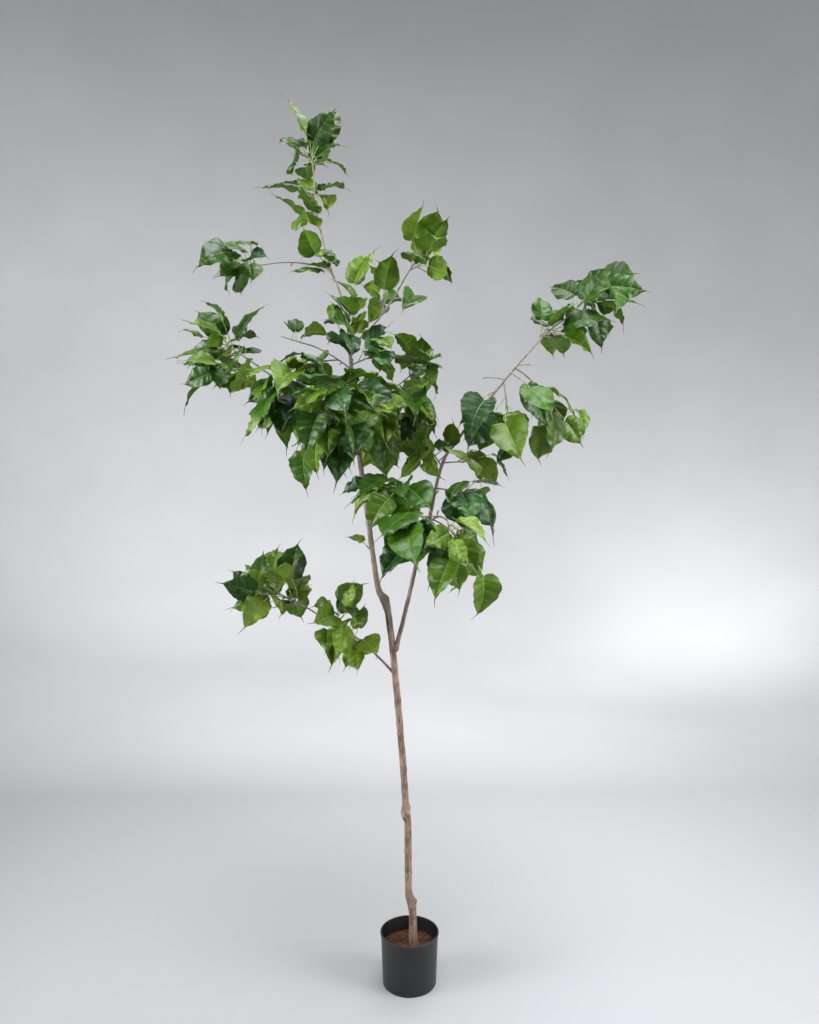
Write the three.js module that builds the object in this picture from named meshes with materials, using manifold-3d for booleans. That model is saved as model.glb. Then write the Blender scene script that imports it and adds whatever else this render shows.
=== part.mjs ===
// An artificial bodhi tree standing in a small nursery pot.
// Millimetres, +Z up. The origin is the centre of the pot's flat underside, and the front of the tree
// faces -Y.

import * as THREE from 'three';
import Module from 'manifold-3d';

const wasm = await Module();
wasm.setup();

// ---- sizes ----

const seat = 0.3; // air left between two pieces that meet

const pot = {
  rimRadius: 82.5, footRadius: 75, height: 143, wall: 2.4, floor: 3, lip: 1.6, lipDepth: 7, sides: 36,
};
const fill = { top: 98, coverTop: 106 }; // heights of the cast cement and of the brown cover on it

// Each line is a limb's centre from foot to tip: across, depth, height and radius. The bumps in radius are
// knots.
const limbLines = {
  trunk: {
    sides: 8, spacing: 30,
    points: [
      [11, 0, fill.coverTop + seat, 12.2], [9, 1, 190, 11.2], [6, 1, 224, 13.2], [-2, 2, 256, 10.3],
      [-4, 5, 368, 10.4], [-5, 4, 448, 10.0], [-11, 2, 478, 12.8], [-12, 1, 523, 9.4], [-25, -2, 696, 9.5],
      [-43, 0, 894, 9.4], [-60, 4, 1037, 9.4], [-73, 5, 1080, 11.8], [-91, 4, 1122, 7.9],
      [-117, -2, 1306, 7.2], [-149, 3, 1534, 6.8],
    ],
  },
  upper_stem: {
    limb: 'trunk', sides: 7, spacing: 40,
    points: [[-150, 3, 1518, 6.4], [-155, 2, 1600, 6.4], [-163, -4, 1713, 6.0], [-170, 0, 1823, 5.2]],
  },
  leader_twig: {
    limb: 'upper_stem', sides: 6, spacing: 45,
    points: [
      [-169, 0, 1812, 3.8], [-179, -4, 1893, 3.2], [-201, -2, 1959, 2.9], [-228, 6, 2029, 2.7],
      [-248, 10, 2107, 2.5], [-267, 4, 2201, 2.3], [-271, -4, 2285, 2.1],
    ],
  },
  right_leader: {
    limb: 'trunk', sides: 7, spacing: 42,
    points: [
      [-41, 0, 930, 6.6], [-14, -8, 1036, 6.0], [22, -20, 1192, 5.8], [51, -26, 1290, 5.2],
      [89, -36, 1454, 4.6], [131, -44, 1523, 4.2], [249, -56, 1673, 3.4], [376, -40, 1817, 2.4],
      [439, -30, 1867, 2.0],
    ],
  },
};

// Each bough starts on its limb's centre line, at 0 for the limb's foot to 1 for its tip. It goes toward a
// heading (0 is +X and 90 is +Y) and a climb, in degrees, and bow raises its middle.
const boughs = {
  bough_left_high: {
    limb: 'leader_twig', at: 0.46, heading: 198, climb: -2, length: 195, bow: 14, radii: [2.0, 1.5],
  },
  bough_right_high: {
    limb: 'upper_stem', at: 0.92, heading: 349, climb: 48, length: 225, bow: -22, radii: [3.4, 2.2],
  },
  bough_left_twig: {
    limb: 'upper_stem', at: 0.71, heading: 156, climb: 32, length: 145, bow: 6, radii: [2.4, 1.9],
  },
  bough_left_mid: {
    limb: 'upper_stem', at: 0.38, heading: 199, climb: 22, length: 295, bow: -20, radii: [4.0, 2.2],
  },
  bough_front: {
    limb: 'upper_stem', at: 0.29, heading: 261, climb: 4, length: 195, bow: 10, radii: [3.6, 2.2],
  },
  bough_back: {
    limb: 'upper_stem', at: 0.50, heading: 95, climb: 17, length: 220, bow: 10, radii: [3.6, 2.2],
  },
  bough_centre_right: {
    limb: 'upper_stem', at: 0.45, heading: 16, climb: 24, length: 160, bow: -12, radii: [3.6, 2.2],
  },
  bough_low_left: {
    limb: 'trunk', at: 0.6314, heading: 180, climb: 38, length: 270, bow: 20, radii: [3.6, 2.0],
  },
  bough_right_front: {
    limb: 'right_leader', at: 0.37, heading: 282, climb: 6, length: 210, bow: 16, radii: [3.2, 2.0],
  },
};
const boughShape = { sides: 6, spacing: 48 };

// The masses of foliage, in the order they grow. Each has one stem, given like a bough, and side twigs
// (forks) on it. space is the room that its leaves keep to: from left to right, and from bottom to top.
// blade is the usual length of a leaf without its tail. face turns the leaves to the front or, below 0, to
// the back, droop bends them down, and lift raises their stalks.
const masses = [
  { name: 'tuft_top', limb: 'leader_twig', at: 1, heading: 142, climb: 82, reach: 45,
    space: [-405, -155, 2290, 2480], forks: 1, forkReach: 30,
    leaves: 10, blade: 104, face: 1, droop: 0, lift: 0.5, seed: 3 },
  { name: 'tuft_second', limb: 'leader_twig', at: 0.81, heading: 201, climb: 75, reach: 30,
    space: [-415, -155, 2210, 2295],
    leaves: 4, blade: 104, face: 0.6, droop: 0.05, lift: 0.3, seed: 7 },
  { name: 'tuft_third', limb: 'leader_twig', at: 0.69, heading: 246, climb: 46, reach: 30,
    space: [-385, -210, 2105, 2215],
    leaves: 5, blade: 106, face: 0.9, droop: 0.15, lift: 0.3, seed: 8 },
  { name: 'tuft_fourth', limb: 'leader_twig', at: 0.40, heading: 229, climb: 45, reach: 45,
    space: [-335, -175, 1935, 2105],
    leaves: 6, blade: 76, face: 0.2, droop: 0.15, lift: 0.15, seed: 4 },
  { name: 'spray_left_high', limb: 'bough_left_high', at: 1, heading: 195, climb: 11, reach: 60,
    space: [-555, -305, 1935, 2070],
    leaves: 7, blade: 110, face: 1, droop: 0.2, lift: 0.1, seed: 5 },
  { name: 'spray_back_high', limb: 'upper_stem', at: 0.88, heading: 86, climb: 60, reach: 215,
    space: [-215, -105, 1945, 2145],
    leaves: 3, blade: 102, face: 0.5, droop: 0, lift: 0.4, seed: 1 },
  { name: 'spray_right_top', limb: 'bough_right_high', at: 1, heading: 331, climb: 52, reach: 105,
    space: [-60, 115, 1940, 2175], forks: 2, forkReach: 45,
    leaves: 8, blade: 116, face: -1, droop: 0.05, lift: 0.4, seed: 6 },
  { name: 'spray_right_in', limb: 'bough_right_high', at: 0.58, heading: 72, climb: 53, reach: 100,
    space: [-125, -20, 1840, 2040], forks: 1, forkReach: 30,
    leaves: 6, blade: 96, face: -1, droop: 0.2, lift: 0.3, seed: 9 },
  { name: 'spray_right_out', limb: 'bough_right_high', at: 0.83, heading: 299, climb: -14, reach: 100,
    space: [-30, 80, 1845, 1940],
    leaves: 1, blade: 112, face: 1, droop: 0.4, lift: 0, seed: 3 },
  { name: 'tuft_stem', limb: 'upper_stem', at: 0.93, heading: 267, climb: 20, reach: 55,
    space: [-235, -115, 1740, 1905], forks: 2, forkReach: 40,
    leaves: 10, blade: 98, face: 0.3, droop: 0.25, lift: 0.3, seed: 8 },
  { name: 'spray_stem_right', limb: 'upper_stem', at: 0.75, heading: 320, climb: 10, reach: 105,
    space: [-160, -35, 1705, 1825], forks: 1, forkReach: 30,
    leaves: 7, blade: 104, face: 0.5, droop: 0.35, lift: 0.1, seed: 10 },
  { name: 'spray_left_twig', limb: 'bough_left_twig', at: 1, heading: 161, climb: 19, reach: 110,
    space: [-385, -185, 1805, 1900],
    leaves: 5, blade: 82, face: 0.1, droop: 0.2, lift: 0.2, seed: 2 },
  { name: 'spray_left_dark', limb: 'bough_left_twig', at: 0.33, heading: 136, climb: 4, reach: 170,
    space: [-415, -220, 1695, 1825],
    leaves: 6, blade: 102, face: 0.6, droop: 0.2, lift: 0.1, seed: 5 },
  { name: 'spray_left_up', limb: 'bough_left_mid', at: 1, heading: 163, climb: 33, reach: 110,
    space: [-630, -350, 1720, 1890], forks: 1, forkReach: 40,
    leaves: 12, blade: 102, face: 0.6, droop: 0.05, lift: 0.2, seed: 6 },
  { name: 'spray_left_out', limb: 'bough_left_mid', at: 0.92, heading: 206, climb: -1, reach: 115,
    space: [-615, -370, 1630, 1765], forks: 1, forkReach: 40,
    leaves: 8, blade: 110, face: 0.6, droop: 0.1, lift: 0, seed: 1 },
  { name: 'spray_left_in', limb: 'bough_left_mid', at: 0.58, heading: 251, climb: 1, reach: 115, bow: 10,
    space: [-430, -195, 1530, 1730], forks: 2, forkReach: 50,
    leaves: 12, blade: 112, face: 0.6, droop: 0.2, lift: 0.1, seed: 6 },
  { name: 'spray_front', limb: 'bough_front', at: 1, heading: 258, climb: 8, reach: 60,
    space: [-280, -50, 1475, 1670], forks: 2, forkReach: 60,
    leaves: 11, blade: 114, face: 0.5, droop: 0.15, lift: 0.1, seed: 5 },
  { name: 'spray_front_low', limb: 'bough_front', at: 0.67, heading: 220, climb: -37, reach: 85,
    space: [-295, -120, 1425, 1620], forks: 1, forkReach: 50,
    leaves: 9, blade: 116, face: 0.6, droop: 0.3, lift: 0, seed: 6 },
  { name: 'spray_hanging', limb: 'bough_front', at: 0.33, heading: 195, climb: -32, reach: 185,
    space: [-360, -260, 1335, 1515],
    leaves: 3, blade: 112, face: 1, droop: 0.9, lift: 0, seed: 8 },
  { name: 'spray_right_mid', limb: 'bough_centre_right', at: 1, heading: 359, climb: 39, reach: 50,
    space: [-80, 95, 1650, 1820], forks: 2, forkReach: 50,
    leaves: 10, blade: 110, face: -1, droop: 0.2, lift: 0.2, seed: 3 },
  { name: 'spray_low_far', limb: 'bough_low_left', at: 1, heading: 166, climb: 23, reach: 175, bow: 8,
    space: [-510, -220, 1005, 1240], forks: 3, forkReach: 80,
    leaves: 16, blade: 108, face: 0.9, droop: 0.2, lift: 0.2, seed: 3 },
  { name: 'spray_low_left', limb: 'bough_low_left', at: 0.75, heading: 256, climb: 3, reach: 75,
    space: [-255, -125, 905, 1135], forks: 1, forkReach: 50,
    leaves: 7, blade: 106, face: 0.6, droop: 0.3, lift: 0, seed: 13 },
  { name: 'spray_low_right', limb: 'bough_low_left', at: 0.42, heading: 236, climb: 30, reach: 85,
    space: [-185, -30, 900, 1055], forks: 1, forkReach: 50,
    leaves: 8, blade: 102, face: 0.8, droop: 0.3, lift: 0.2, seed: 8 },
  { name: 'leaf_on_trunk', limb: 'trunk', at: 0.8971, heading: 214, climb: 41, reach: 25,
    space: [-185, -105, 1215, 1270],
    leaves: 1, blade: 56, face: 0.2, droop: 0.1, lift: 0, seed: 4 },
  { name: 'spray_right_head', limb: 'right_leader', at: 0.50, heading: 216, climb: 49, reach: 60,
    space: [-25, 150, 1415, 1570], forks: 1, forkReach: 40,
    leaves: 8, blade: 102, face: -0.6, droop: 0.3, lift: 0.1, seed: 4 },
  { name: 'spray_right_left', limb: 'right_leader', at: 0.43, heading: 230, climb: 10, reach: 160, bow: 8,
    space: [-175, 60, 1295, 1435], forks: 1, forkReach: 40,
    leaves: 11, blade: 112, face: 0.7, droop: 0.2, lift: 0, seed: 10 },
  { name: 'spray_right_fore', limb: 'bough_right_front', at: 0.58, heading: 243, climb: 1, reach: 150,
    space: [-85, 70, 1185, 1360], forks: 1, forkReach: 40,
    leaves: 8, blade: 120, face: 0.9, droop: 0.3, lift: 0, seed: 10 },
  { name: 'spray_right_drop', limb: 'bough_right_front', at: 1, heading: 276, climb: -18, reach: 65,
    space: [40, 180, 1115, 1330], forks: 1, forkReach: 40,
    leaves: 7, blade: 118, face: 1, droop: 0.45, lift: 0, seed: 10 },
  { name: 'spray_right_foot', limb: 'right_leader', at: 0.39, heading: 322, climb: -36, reach: 185, bow: 20,
    space: [120, 280, 1020, 1255], forks: 1, forkReach: 60,
    leaves: 6, blade: 106, face: 0.8, droop: 0.6, lift: 0, seed: 6 },
  { name: 'spray_mid_left', limb: 'right_leader', at: 0.74, heading: 243, climb: -18, reach: 75,
    space: [135, 250, 1500, 1680],
    leaves: 3, blade: 122, face: 1, droop: 0.4, lift: 0, seed: 8 },
  { name: 'spray_mid_centre', limb: 'right_leader', at: 0.76, heading: 294, climb: -75, reach: 100,
    space: [175, 320, 1425, 1625], forks: 1, forkReach: 40,
    leaves: 5, blade: 116, face: 1, droop: 0.6, lift: 0, seed: 2 },
  { name: 'spray_mid_right', limb: 'right_leader', at: 0.78, heading: 292, climb: -28, reach: 90,
    space: [245, 395, 1555, 1710],
    leaves: 4, blade: 122, face: 1, droop: 0.4, lift: 0.1, seed: 3 },
  { name: 'spray_mid_end', limb: 'right_leader', at: 0.79, heading: 22, climb: -40, reach: 185, bow: 10,
    space: [340, 515, 1435, 1690], forks: 1, forkReach: 40,
    leaves: 6, blade: 108, face: 0.7, droop: 0.5, lift: 0, seed: 8 },
  { name: 'spray_high_low', limb: 'right_leader', at: 0.84, heading: 49, climb: 42, reach: 100,
    space: [305, 535, 1730, 1935], forks: 1, forkReach: 50,
    leaves: 8, blade: 110, face: 0.9, droop: 0.3, lift: 0.2, seed: 2 },
  { name: 'spray_high_end', limb: 'right_leader', at: 1, heading: 9, climb: 45, reach: 85,
    space: [395, 635, 1795, 2020], forks: 3, forkReach: 55,
    leaves: 12, blade: 108, face: 0.9, droop: 0.25, lift: 0.2, seed: 12 },
  { name: 'spray_left_under', limb: 'bough_left_mid', at: 0.50, heading: 178, climb: -12, reach: 90,
    space: [-425, -250, 1535, 1675], forks: 1, forkReach: 50,
    leaves: 8, blade: 112, face: 0.8, droop: 0.4, lift: 0, seed: 1 },
  { name: 'spray_inner_right', limb: 'upper_stem', at: 0.40, heading: 303, climb: -7, reach: 145,
    space: [-180, -15, 1470, 1690], forks: 1, forkReach: 50,
    leaves: 10, blade: 114, face: 0.6, droop: 0.35, lift: 0, seed: 4 },
  { name: 'spray_right_under', limb: 'bough_centre_right', at: 0.83, heading: 321, climb: -39, reach: 70,
    space: [-100, 80, 1440, 1695], forks: 1, forkReach: 50,
    leaves: 10, blade: 112, face: 0.3, droop: 0.4, lift: 0, seed: 4 },
  { name: 'spray_right_side', limb: 'right_leader', at: 0.45, heading: 311, climb: -7, reach: 105,
    space: [70, 235, 1280, 1420], forks: 1, forkReach: 40,
    leaves: 8, blade: 118, face: 0.4, droop: 0.35, lift: 0.1, seed: 10 },
  { name: 'spray_mid_low', limb: 'right_leader', at: 0.51, heading: 32, climb: 5, reach: 105,
    space: [140, 285, 1400, 1530], forks: 1, forkReach: 30,
    leaves: 4, blade: 112, face: -0.7, droop: 0.5, lift: 0, seed: 10 },
  { name: 'spray_back', limb: 'bough_back', at: 1, heading: 102, climb: 31, reach: 60,
    space: [-295, -50, 1545, 1780], forks: 2, forkReach: 60,
    leaves: 9, blade: 112, face: -0.8, droop: 0.3, lift: 0.1, seed: 3 },
  { name: 'spray_back_left', limb: 'bough_back', at: 0.17, heading: 125, climb: -4, reach: 190,
    space: [-335, -165, 1505, 1715], forks: 1, forkReach: 50,
    leaves: 7, blade: 112, face: -0.8, droop: 0.4, lift: 0, seed: 1 },
  { name: 'spray_back_low', limb: 'upper_stem', at: 0.22, heading: 73, climb: 5, reach: 155,
    space: [-175, -15, 1455, 1665], forks: 1, forkReach: 50,
    leaves: 8, blade: 112, face: -0.8, droop: 0.4, lift: 0, seed: 3 },
];

// How every mass grows. Angles are in degrees, and a pair is the range that the dice choose from.
const habit = {
  leavesPerSeed: 100, tries: 40,
  goldenAngle: 137.5, jitter: [-35, 35], nextTry: 57, // turns about the twig: next leaf, chance, next try
  firstLeaf: 0.35, lastLeaf: 0.96, // the share of a twig where its leaves begin, and where its last one is
  endSpread: [5, 35], sideSpread: [40, 78], // between the twig and a leaf's stalk, at its end and along it
  stalk: [0.35, 0.62], blade: [0.68, 1.12], width: [0.94, 1.08], tailBend: [-0.5, 0.5],
  droop: [0.4, 1.5], sway: 0.5, swayClimb: [-35, 35],
  outwardFace: 0.8, frontFace: 1.3, roll: [-40, 40], arch: [9, 54], fold: [5, 40],
  forkFrom: 0.25, forkSpan: 0.6, forkLean: [35, 63], forkReach: [0.75, 1.2],
  tipAllowance: 30, // added to each twig's length to share out the leaves, so that a short twig gets some too
};
// What a blade keeps from other blades and from rods, and what a stalk or fork keeps from the rods of
// other masses.
const clearance = { blade: 8, rod: 3.5, stalk: 5 };
const girthAllowance = 5;
// the shares of a new stalk or fork at which that is measured
const stalkChecks = [0.3, 0.4, 0.5, 0.6, 0.7, 0.8, 0.9, 1];
const limbChecks = { least: 6, spacing: 30 }; // straight rods that stand for a limb in measuring distances
const stalkEnds = { fromTwig: 0.08, fromBlade: 0.02 }; // shares of a stalk left out of its rod
// Radii of the twigs and of the leaf stalks, which start inside their twig.
const twig = {
  foot: 2.8, tip: 2.2, forkFoot: 2.2, forkTip: 1.8, stalkFoot: 0.6, stalk: 1.2, steps: 4, sides: 3,
};

// The right half of a blade, in shares of its length: along the midrib and out from it. The last point
// ends the tail.
const bladeOutline = [[0, 0], [-0.08, 0.21], [0.24, 0.46], [0.82, 0.19], [1.27, 0]];
const bladeRidge = 0.45; // the share of the midrib where the blade is thickest
const bladeThickness = 2.6;
// Points where a blade's distance to its neighbours is taken, on the midrib and out to each side of it.
const midribProbes = [0.04, 0.3, 0.6, 0.9, 1.2];
const sideProbes = [[0, 0.2], [0.12, 0.38], [0.32, 0.22], [0.42, 0.42], [0.62, 0.17], [0.70, 0.29]];

const colours = {
  pot: 0x1c1d1f, cement: 0x8d8a84, cover: 0x6b3f2a, bark: 0x8a7468, twigBark: 0x7d7363,
  leaves: [0x2f6b24, 0x3f7a2c, 0x24552a, 0x5b8a34],
};

// ---- directions ----

const upward = new THREE.Vector3(0, 0, 1);
const front = new THREE.Vector3(0, -1, 0);
const radians = THREE.MathUtils.degToRad;

function aim(heading, climb) {
  const [h, c] = [radians(heading), radians(climb)];
  return new THREE.Vector3(Math.cos(h) * Math.cos(c), Math.sin(h) * Math.cos(c), Math.sin(c));
}

function sideOf(direction) {
  const reference = Math.abs(direction.z) < 0.9 ? upward : new THREE.Vector3(1, 0, 0);
  return direction.clone().cross(reference).normalize();
}

function turned(vector, axis, angle) {
  return vector.clone().applyAxisAngle(axis, radians(angle));
}

function leaned(direction, across, angle) {
  const a = radians(angle);
  return direction.clone().multiplyScalar(Math.cos(a)).addScaledVector(across, Math.sin(a));
}

// A repeatable throw of the dice: the Park-Miller generator.
function makeDice(seed) {
  const modulus = 2147483647;
  let state = (seed * 7919 + 104729) % modulus;
  const roll = () => {
    state = state * 16807 % modulus;
    return state / modulus;
  };
  for (let i = 0; i < 3; i += 1) roll();
  return { roll, between: ([low, high]) => low + (high - low) * roll() };
}

// ---- solids ----

function toGeometry(points, faces) {
  const geometry = new THREE.BufferGeometry();
  const numbers = points.flatMap((p) => [p.x, p.y, p.z]);
  geometry.setAttribute('position', new THREE.Float32BufferAttribute(numbers, 3));
  geometry.setIndex(faces.flat());
  return geometry;
}

function toSolid(geometry) {
  const mesh = new wasm.Mesh({
    numProp: 3,
    vertProperties: new Float32Array(geometry.attributes.position.array),
    triVerts: new Uint32Array(geometry.index.array),
  });
  return new wasm.Manifold(mesh);
}

// The largest piece of a solid's outer skin: loose scraps and sealed hollows are left behind.
function mainPiece(solid) {
  return solid.decompose().reduce((best, piece) => (piece.volume() > best.volume() ? piece : best));
}

function fromSolid(solid) {
  const mesh = solid.getMesh();
  const geometry = new THREE.BufferGeometry();
  geometry.setAttribute('position', new THREE.BufferAttribute(mesh.vertProperties, 3));
  geometry.setIndex(new THREE.BufferAttribute(mesh.triVerts, 1));
  return geometry;
}

// A closed rod through stations { centre, radius }, each ring square to the way along.
function rodGeometry(stations, sides, turnedFrom) {
  const points = [];
  const faces = [];
  stations.forEach(({ centre, radius }, i) => {
    const before = stations[Math.max(i - 1, 0)].centre;
    const after = stations[Math.min(i + 1, stations.length - 1)].centre;
    const along = after.clone().sub(before).normalize();
    const across = turnedFrom.clone().cross(along).normalize();
    for (let k = 0; k < sides; k += 1) {
      points.push(turned(across, along, 360 * k / sides).multiplyScalar(radius).add(centre));
    }
  });
  const last = (stations.length - 1) * sides;
  for (let i = 0; i < last; i += sides) {
    for (let k = 0; k < sides; k += 1) {
      const next = (k + 1) % sides;
      faces.push([i + k, i + next, i + sides + next], [i + k, i + sides + next, i + sides + k]);
    }
  }
  for (let k = 1; k < sides - 1; k += 1) faces.push([0, k + 1, k], [last, last + k, last + k + 1]);
  return toGeometry(points, faces);
}

// ---- limbs ----

// A limb that has been laid out: its curve, the radius along it and its look.
function lineLimb(name, { limb, sides, spacing, points }) {
  const centres = points.map(([x, y, z]) => new THREE.Vector3(x, y, z));
  const curve = new THREE.CatmullRomCurve3(centres, false, 'catmullrom', 0.5);
  const steps = points.length - 1;
  const radiusAt = (t) => {
    const i = Math.min(Math.floor(t * steps), steps - 1);
    return THREE.MathUtils.lerp(points[i][3], points[i + 1][3], t * steps - i);
  };
  const pointAt = (t) => curve.getPoint(t);
  return { name, parent: limb, sides, spacing, pointAt, radiusAt, length: curve.getLength() };
}

function bowedPoint({ start, end, bow = 0 }, t) {
  return start.clone().lerp(end, t).addScaledVector(upward, bow * 4 * t * (1 - t));
}

function boughLimb(name, { limb, heading, climb, length, bow, radii }, start) {
  const arc = { start, end: start.clone().addScaledVector(aim(heading, climb), length), bow };
  const radiusAt = (t) => THREE.MathUtils.lerp(radii[0], radii[1], t);
  return { name, parent: limb, ...boughShape, pointAt: (t) => bowedPoint(arc, t), radiusAt, length };
}

const limbs = {};
for (const [name, line] of Object.entries(limbLines)) limbs[name] = lineLimb(name, line);
for (const [name, bough] of Object.entries(boughs)) {
  limbs[name] = boughLimb(name, bough, limbs[bough.limb].pointAt(bough.at));
}

function stationsAlong(limb, count) {
  const shares = Array.from({ length: count + 1 }, (_, i) => i / count);
  return shares.map((t) => ({ centre: limb.pointAt(t), radius: limb.radiusAt(t) }));
}

// grown makes the limb that much fatter and longer, as a tool that cuts its neighbours clear of it.
function limbSolid(limb, grown) {
  const stations = stationsAlong(limb, Math.max(3, Math.ceil(limb.length / limb.spacing)));
  const [first, last] = [stations[0], stations[stations.length - 1]];
  const chord = last.centre.clone().sub(first.centre).normalize();
  const turnedFrom = Math.abs(chord.z) > 0.7 ? new THREE.Vector3(0, 1, 0) : upward;
  if (grown) {
    first.centre.addScaledVector(chord, -grown);
    last.centre.addScaledVector(chord, grown);
    for (const station of stations) station.radius += grown / Math.cos(Math.PI / limb.sides);
  }
  const geometry = rodGeometry(stations, limb.sides, turnedFrom);
  if (!limb.parent) levelFoot(geometry, limb.sides, first.centre.z);
  return toSolid(geometry);
}

// The trunk's foot is a flat cut: its first ring is brought level.
function levelFoot(geometry, sides, height) {
  for (let k = 0; k < sides; k += 1) geometry.attributes.position.setZ(k, height);
}

// ---- leaves ----

// The point of a blade at shares of its length along the midrib and out from it. The blade arches down
// along the midrib, its halves are folded up, and its tail, past 1, bends to one side.
function bladePoint({ base, axis, normal, side, length, arch, fold, width, tailBend }, along, out) {
  const spread = out * width;
  const drop = (Math.cos(arch * along) - 1) / arch;
  return base.clone()
    .addScaledVector(axis, length * Math.sin(arch * along) / arch)
    .addScaledVector(normal, length * (drop + Math.abs(spread) * Math.sin(fold)))
    .addScaledVector(side, length * (spread * Math.cos(fold) + tailBend * Math.max(0, along - 1)));
}

// The blade as a sheet: its outline, the triangles from the ridge point to it, and the points where
// distances are taken.
function bladeSheet(leaf) {
  const left = bladeOutline.slice(1, -1).reverse().map(([along, out]) => [along, -out]);
  const ring = [...bladeOutline, ...left].map(([along, out]) => bladePoint(leaf, along, out));
  const ridge = bladePoint(leaf, bladeRidge, 0);
  const faces = ring.map((point, i) => [point, ring[(i + 1) % ring.length], ridge]);
  const probes = [
    ...midribProbes.map((along) => bladePoint(leaf, along, 0)),
    ...[1, -1].flatMap((hand) => sideProbes.map(([along, out]) => bladePoint(leaf, along, hand * out))),
  ];
  const corners = [...ring, ridge];
  const centre = corners.reduce((sum, p) => sum.add(p), new THREE.Vector3()).divideScalar(corners.length);
  const girth = Math.max(...corners.map((p) => p.distanceTo(centre))) + girthAllowance;
  return { ring, ridge, faces, probes, centre, girth };
}

const ray = new THREE.Ray();
const found = new THREE.Vector3();

function pierces(from, to, faces) {
  const reach = from.distanceTo(to);
  ray.origin.copy(from);
  ray.direction.subVectors(to, from).divideScalar(reach);
  const meets = ([a, b, c]) => ray.intersectTriangle(a, b, c, false, found) !== null;
  return faces.some((face) => meets(face) && found.distanceTo(from) <= reach);
}

function ringPierces(ring, faces) {
  return ring.some((point, i) => pierces(point, ring[(i + 1) % ring.length], faces));
}

function rodDistance(point, rod) {
  return rod.line.closestPointToPoint(point, true, found).distanceTo(point) - rod.radius;
}

// What has grown so far: rods (limbs, twigs and leaf stalks) with their owners, and the sheets of the leaves.
const grown = { rods: [], sheets: [] };

function addRods(owner, pointAt, radiusAt, count) {
  for (let i = 0; i < count; i += 1) {
    const radius = Math.max(radiusAt(i / count), radiusAt((i + 1) / count));
    grown.rods.push({ owner, radius, line: new THREE.Line3(pointAt(i / count), pointAt((i + 1) / count)) });
  }
}

// Whether any of the blade but its tail is outside the space of its mass.
function leavesSpace({ ring }, [left, right, bottom, top]) {
  const tail = bladeOutline.length - 1;
  return ring.some(({ x, z }, i) => i !== tail && (x < left || x > right || z < bottom || z > top));
}

function touchesRod(sheet, rod) {
  return sheet.probes.some((p) => rodDistance(p, rod) < clearance.rod)
    || pierces(rod.line.start, rod.line.end, sheet.faces);
}

function touchesSheet(sheet, other) {
  return sheet.centre.distanceTo(other.centre) < sheet.girth + other.girth
    && (sheet.probes.some((p) => other.probes.some((q) => p.distanceTo(q) < clearance.blade))
      || ringPierces(sheet.ring, other.faces) || ringPierces(other.ring, sheet.faces));
}

function leafTouches(sheet, foot, base, owner) {
  return grown.rods.some((rod) => rodDistance(sheet.centre, rod) < sheet.girth && touchesRod(sheet, rod))
    || grown.sheets.some((other) => touchesSheet(sheet, other))
    || rodBlocked(foot.clone().lerp(base, stalkEnds.fromTwig), base, owner);
}

// Whether a new twig or stalk would touch a leaf, or come near a rod that isn't its own mass's.
function rodBlocked(from, to, owner) {
  const length = from.distanceTo(to);
  const near = grown.sheets.filter((sheet) => sheet.centre.distanceTo(from) < sheet.girth + length);
  if (near.some((sheet) => pierces(from, to, sheet.faces))) return true;
  const reach = length + clearance.stalk;
  const others = grown.rods.filter((rod) => rod.owner !== owner && rodDistance(from, rod) < reach);
  return stalkChecks.some((t) => {
    const point = from.clone().lerp(to, t);
    return others.some((rod) => rodDistance(point, rod) < clearance.stalk);
  });
}

// ---- growth ----

function growForks(mass, stem, dice) {
  const along = stem.end.clone().sub(stem.start).normalize();
  const side = sideOf(along);
  const roll = dice.between([0, 360]);
  const forks = [];
  for (let k = 0; k < (mass.forks ?? 0); k += 1) {
    const start = bowedPoint(stem, habit.forkFrom + habit.forkSpan * (k + 0.5) / mass.forks);
    const across = turned(side, along, roll + k * habit.goldenAngle);
    const way = leaned(along, across, dice.between(habit.forkLean)).normalize();
    const end = start.clone().addScaledVector(way, mass.forkReach * dice.between(habit.forkReach));
    if (!rodBlocked(start, end, mass.name)) forks.push({ start, end });
  }
  return forks;
}

// One leaf: its stalk leaves the twig at share, turned by roll about it, and the blade goes on from the
// stalk's end.
function growLeaf(mass, branch, share, roll, atEnd, dice) {
  const foot = bowedPoint(branch, share);
  const along = branch.end.clone().sub(branch.start).normalize();
  const across = turned(sideOf(along), along, roll);
  const spread = dice.between(atEnd ? habit.endSpread : habit.sideSpread);
  const way = leaned(along, across, spread).addScaledVector(upward, mass.lift).normalize();
  const length = mass.blade * dice.between(habit.blade);
  const base = foot.clone().addScaledVector(way, length * dice.between(habit.stalk));
  const droop = mass.droop * dice.between(habit.droop);
  const sway = aim(dice.between([0, 360]), dice.between(habit.swayClimb));
  const axis = way.clone().addScaledVector(upward, -droop).addScaledVector(sway, habit.sway).normalize();
  const face = upward.clone().addScaledVector(way, habit.outwardFace)
    .addScaledVector(front, mass.face * habit.frontFace);
  const flat = face.addScaledVector(axis, -face.dot(axis)).normalize();
  const normal = turned(flat, axis, dice.between(habit.roll));
  const [arch, fold] = [radians(dice.between(habit.arch)), radians(dice.between(habit.fold))];
  const [width, tailBend] = [dice.between(habit.width), dice.between(habit.tailBend)];
  return { foot, base, axis, normal, side: normal.clone().cross(axis), length, arch, fold, width, tailBend };
}

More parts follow.
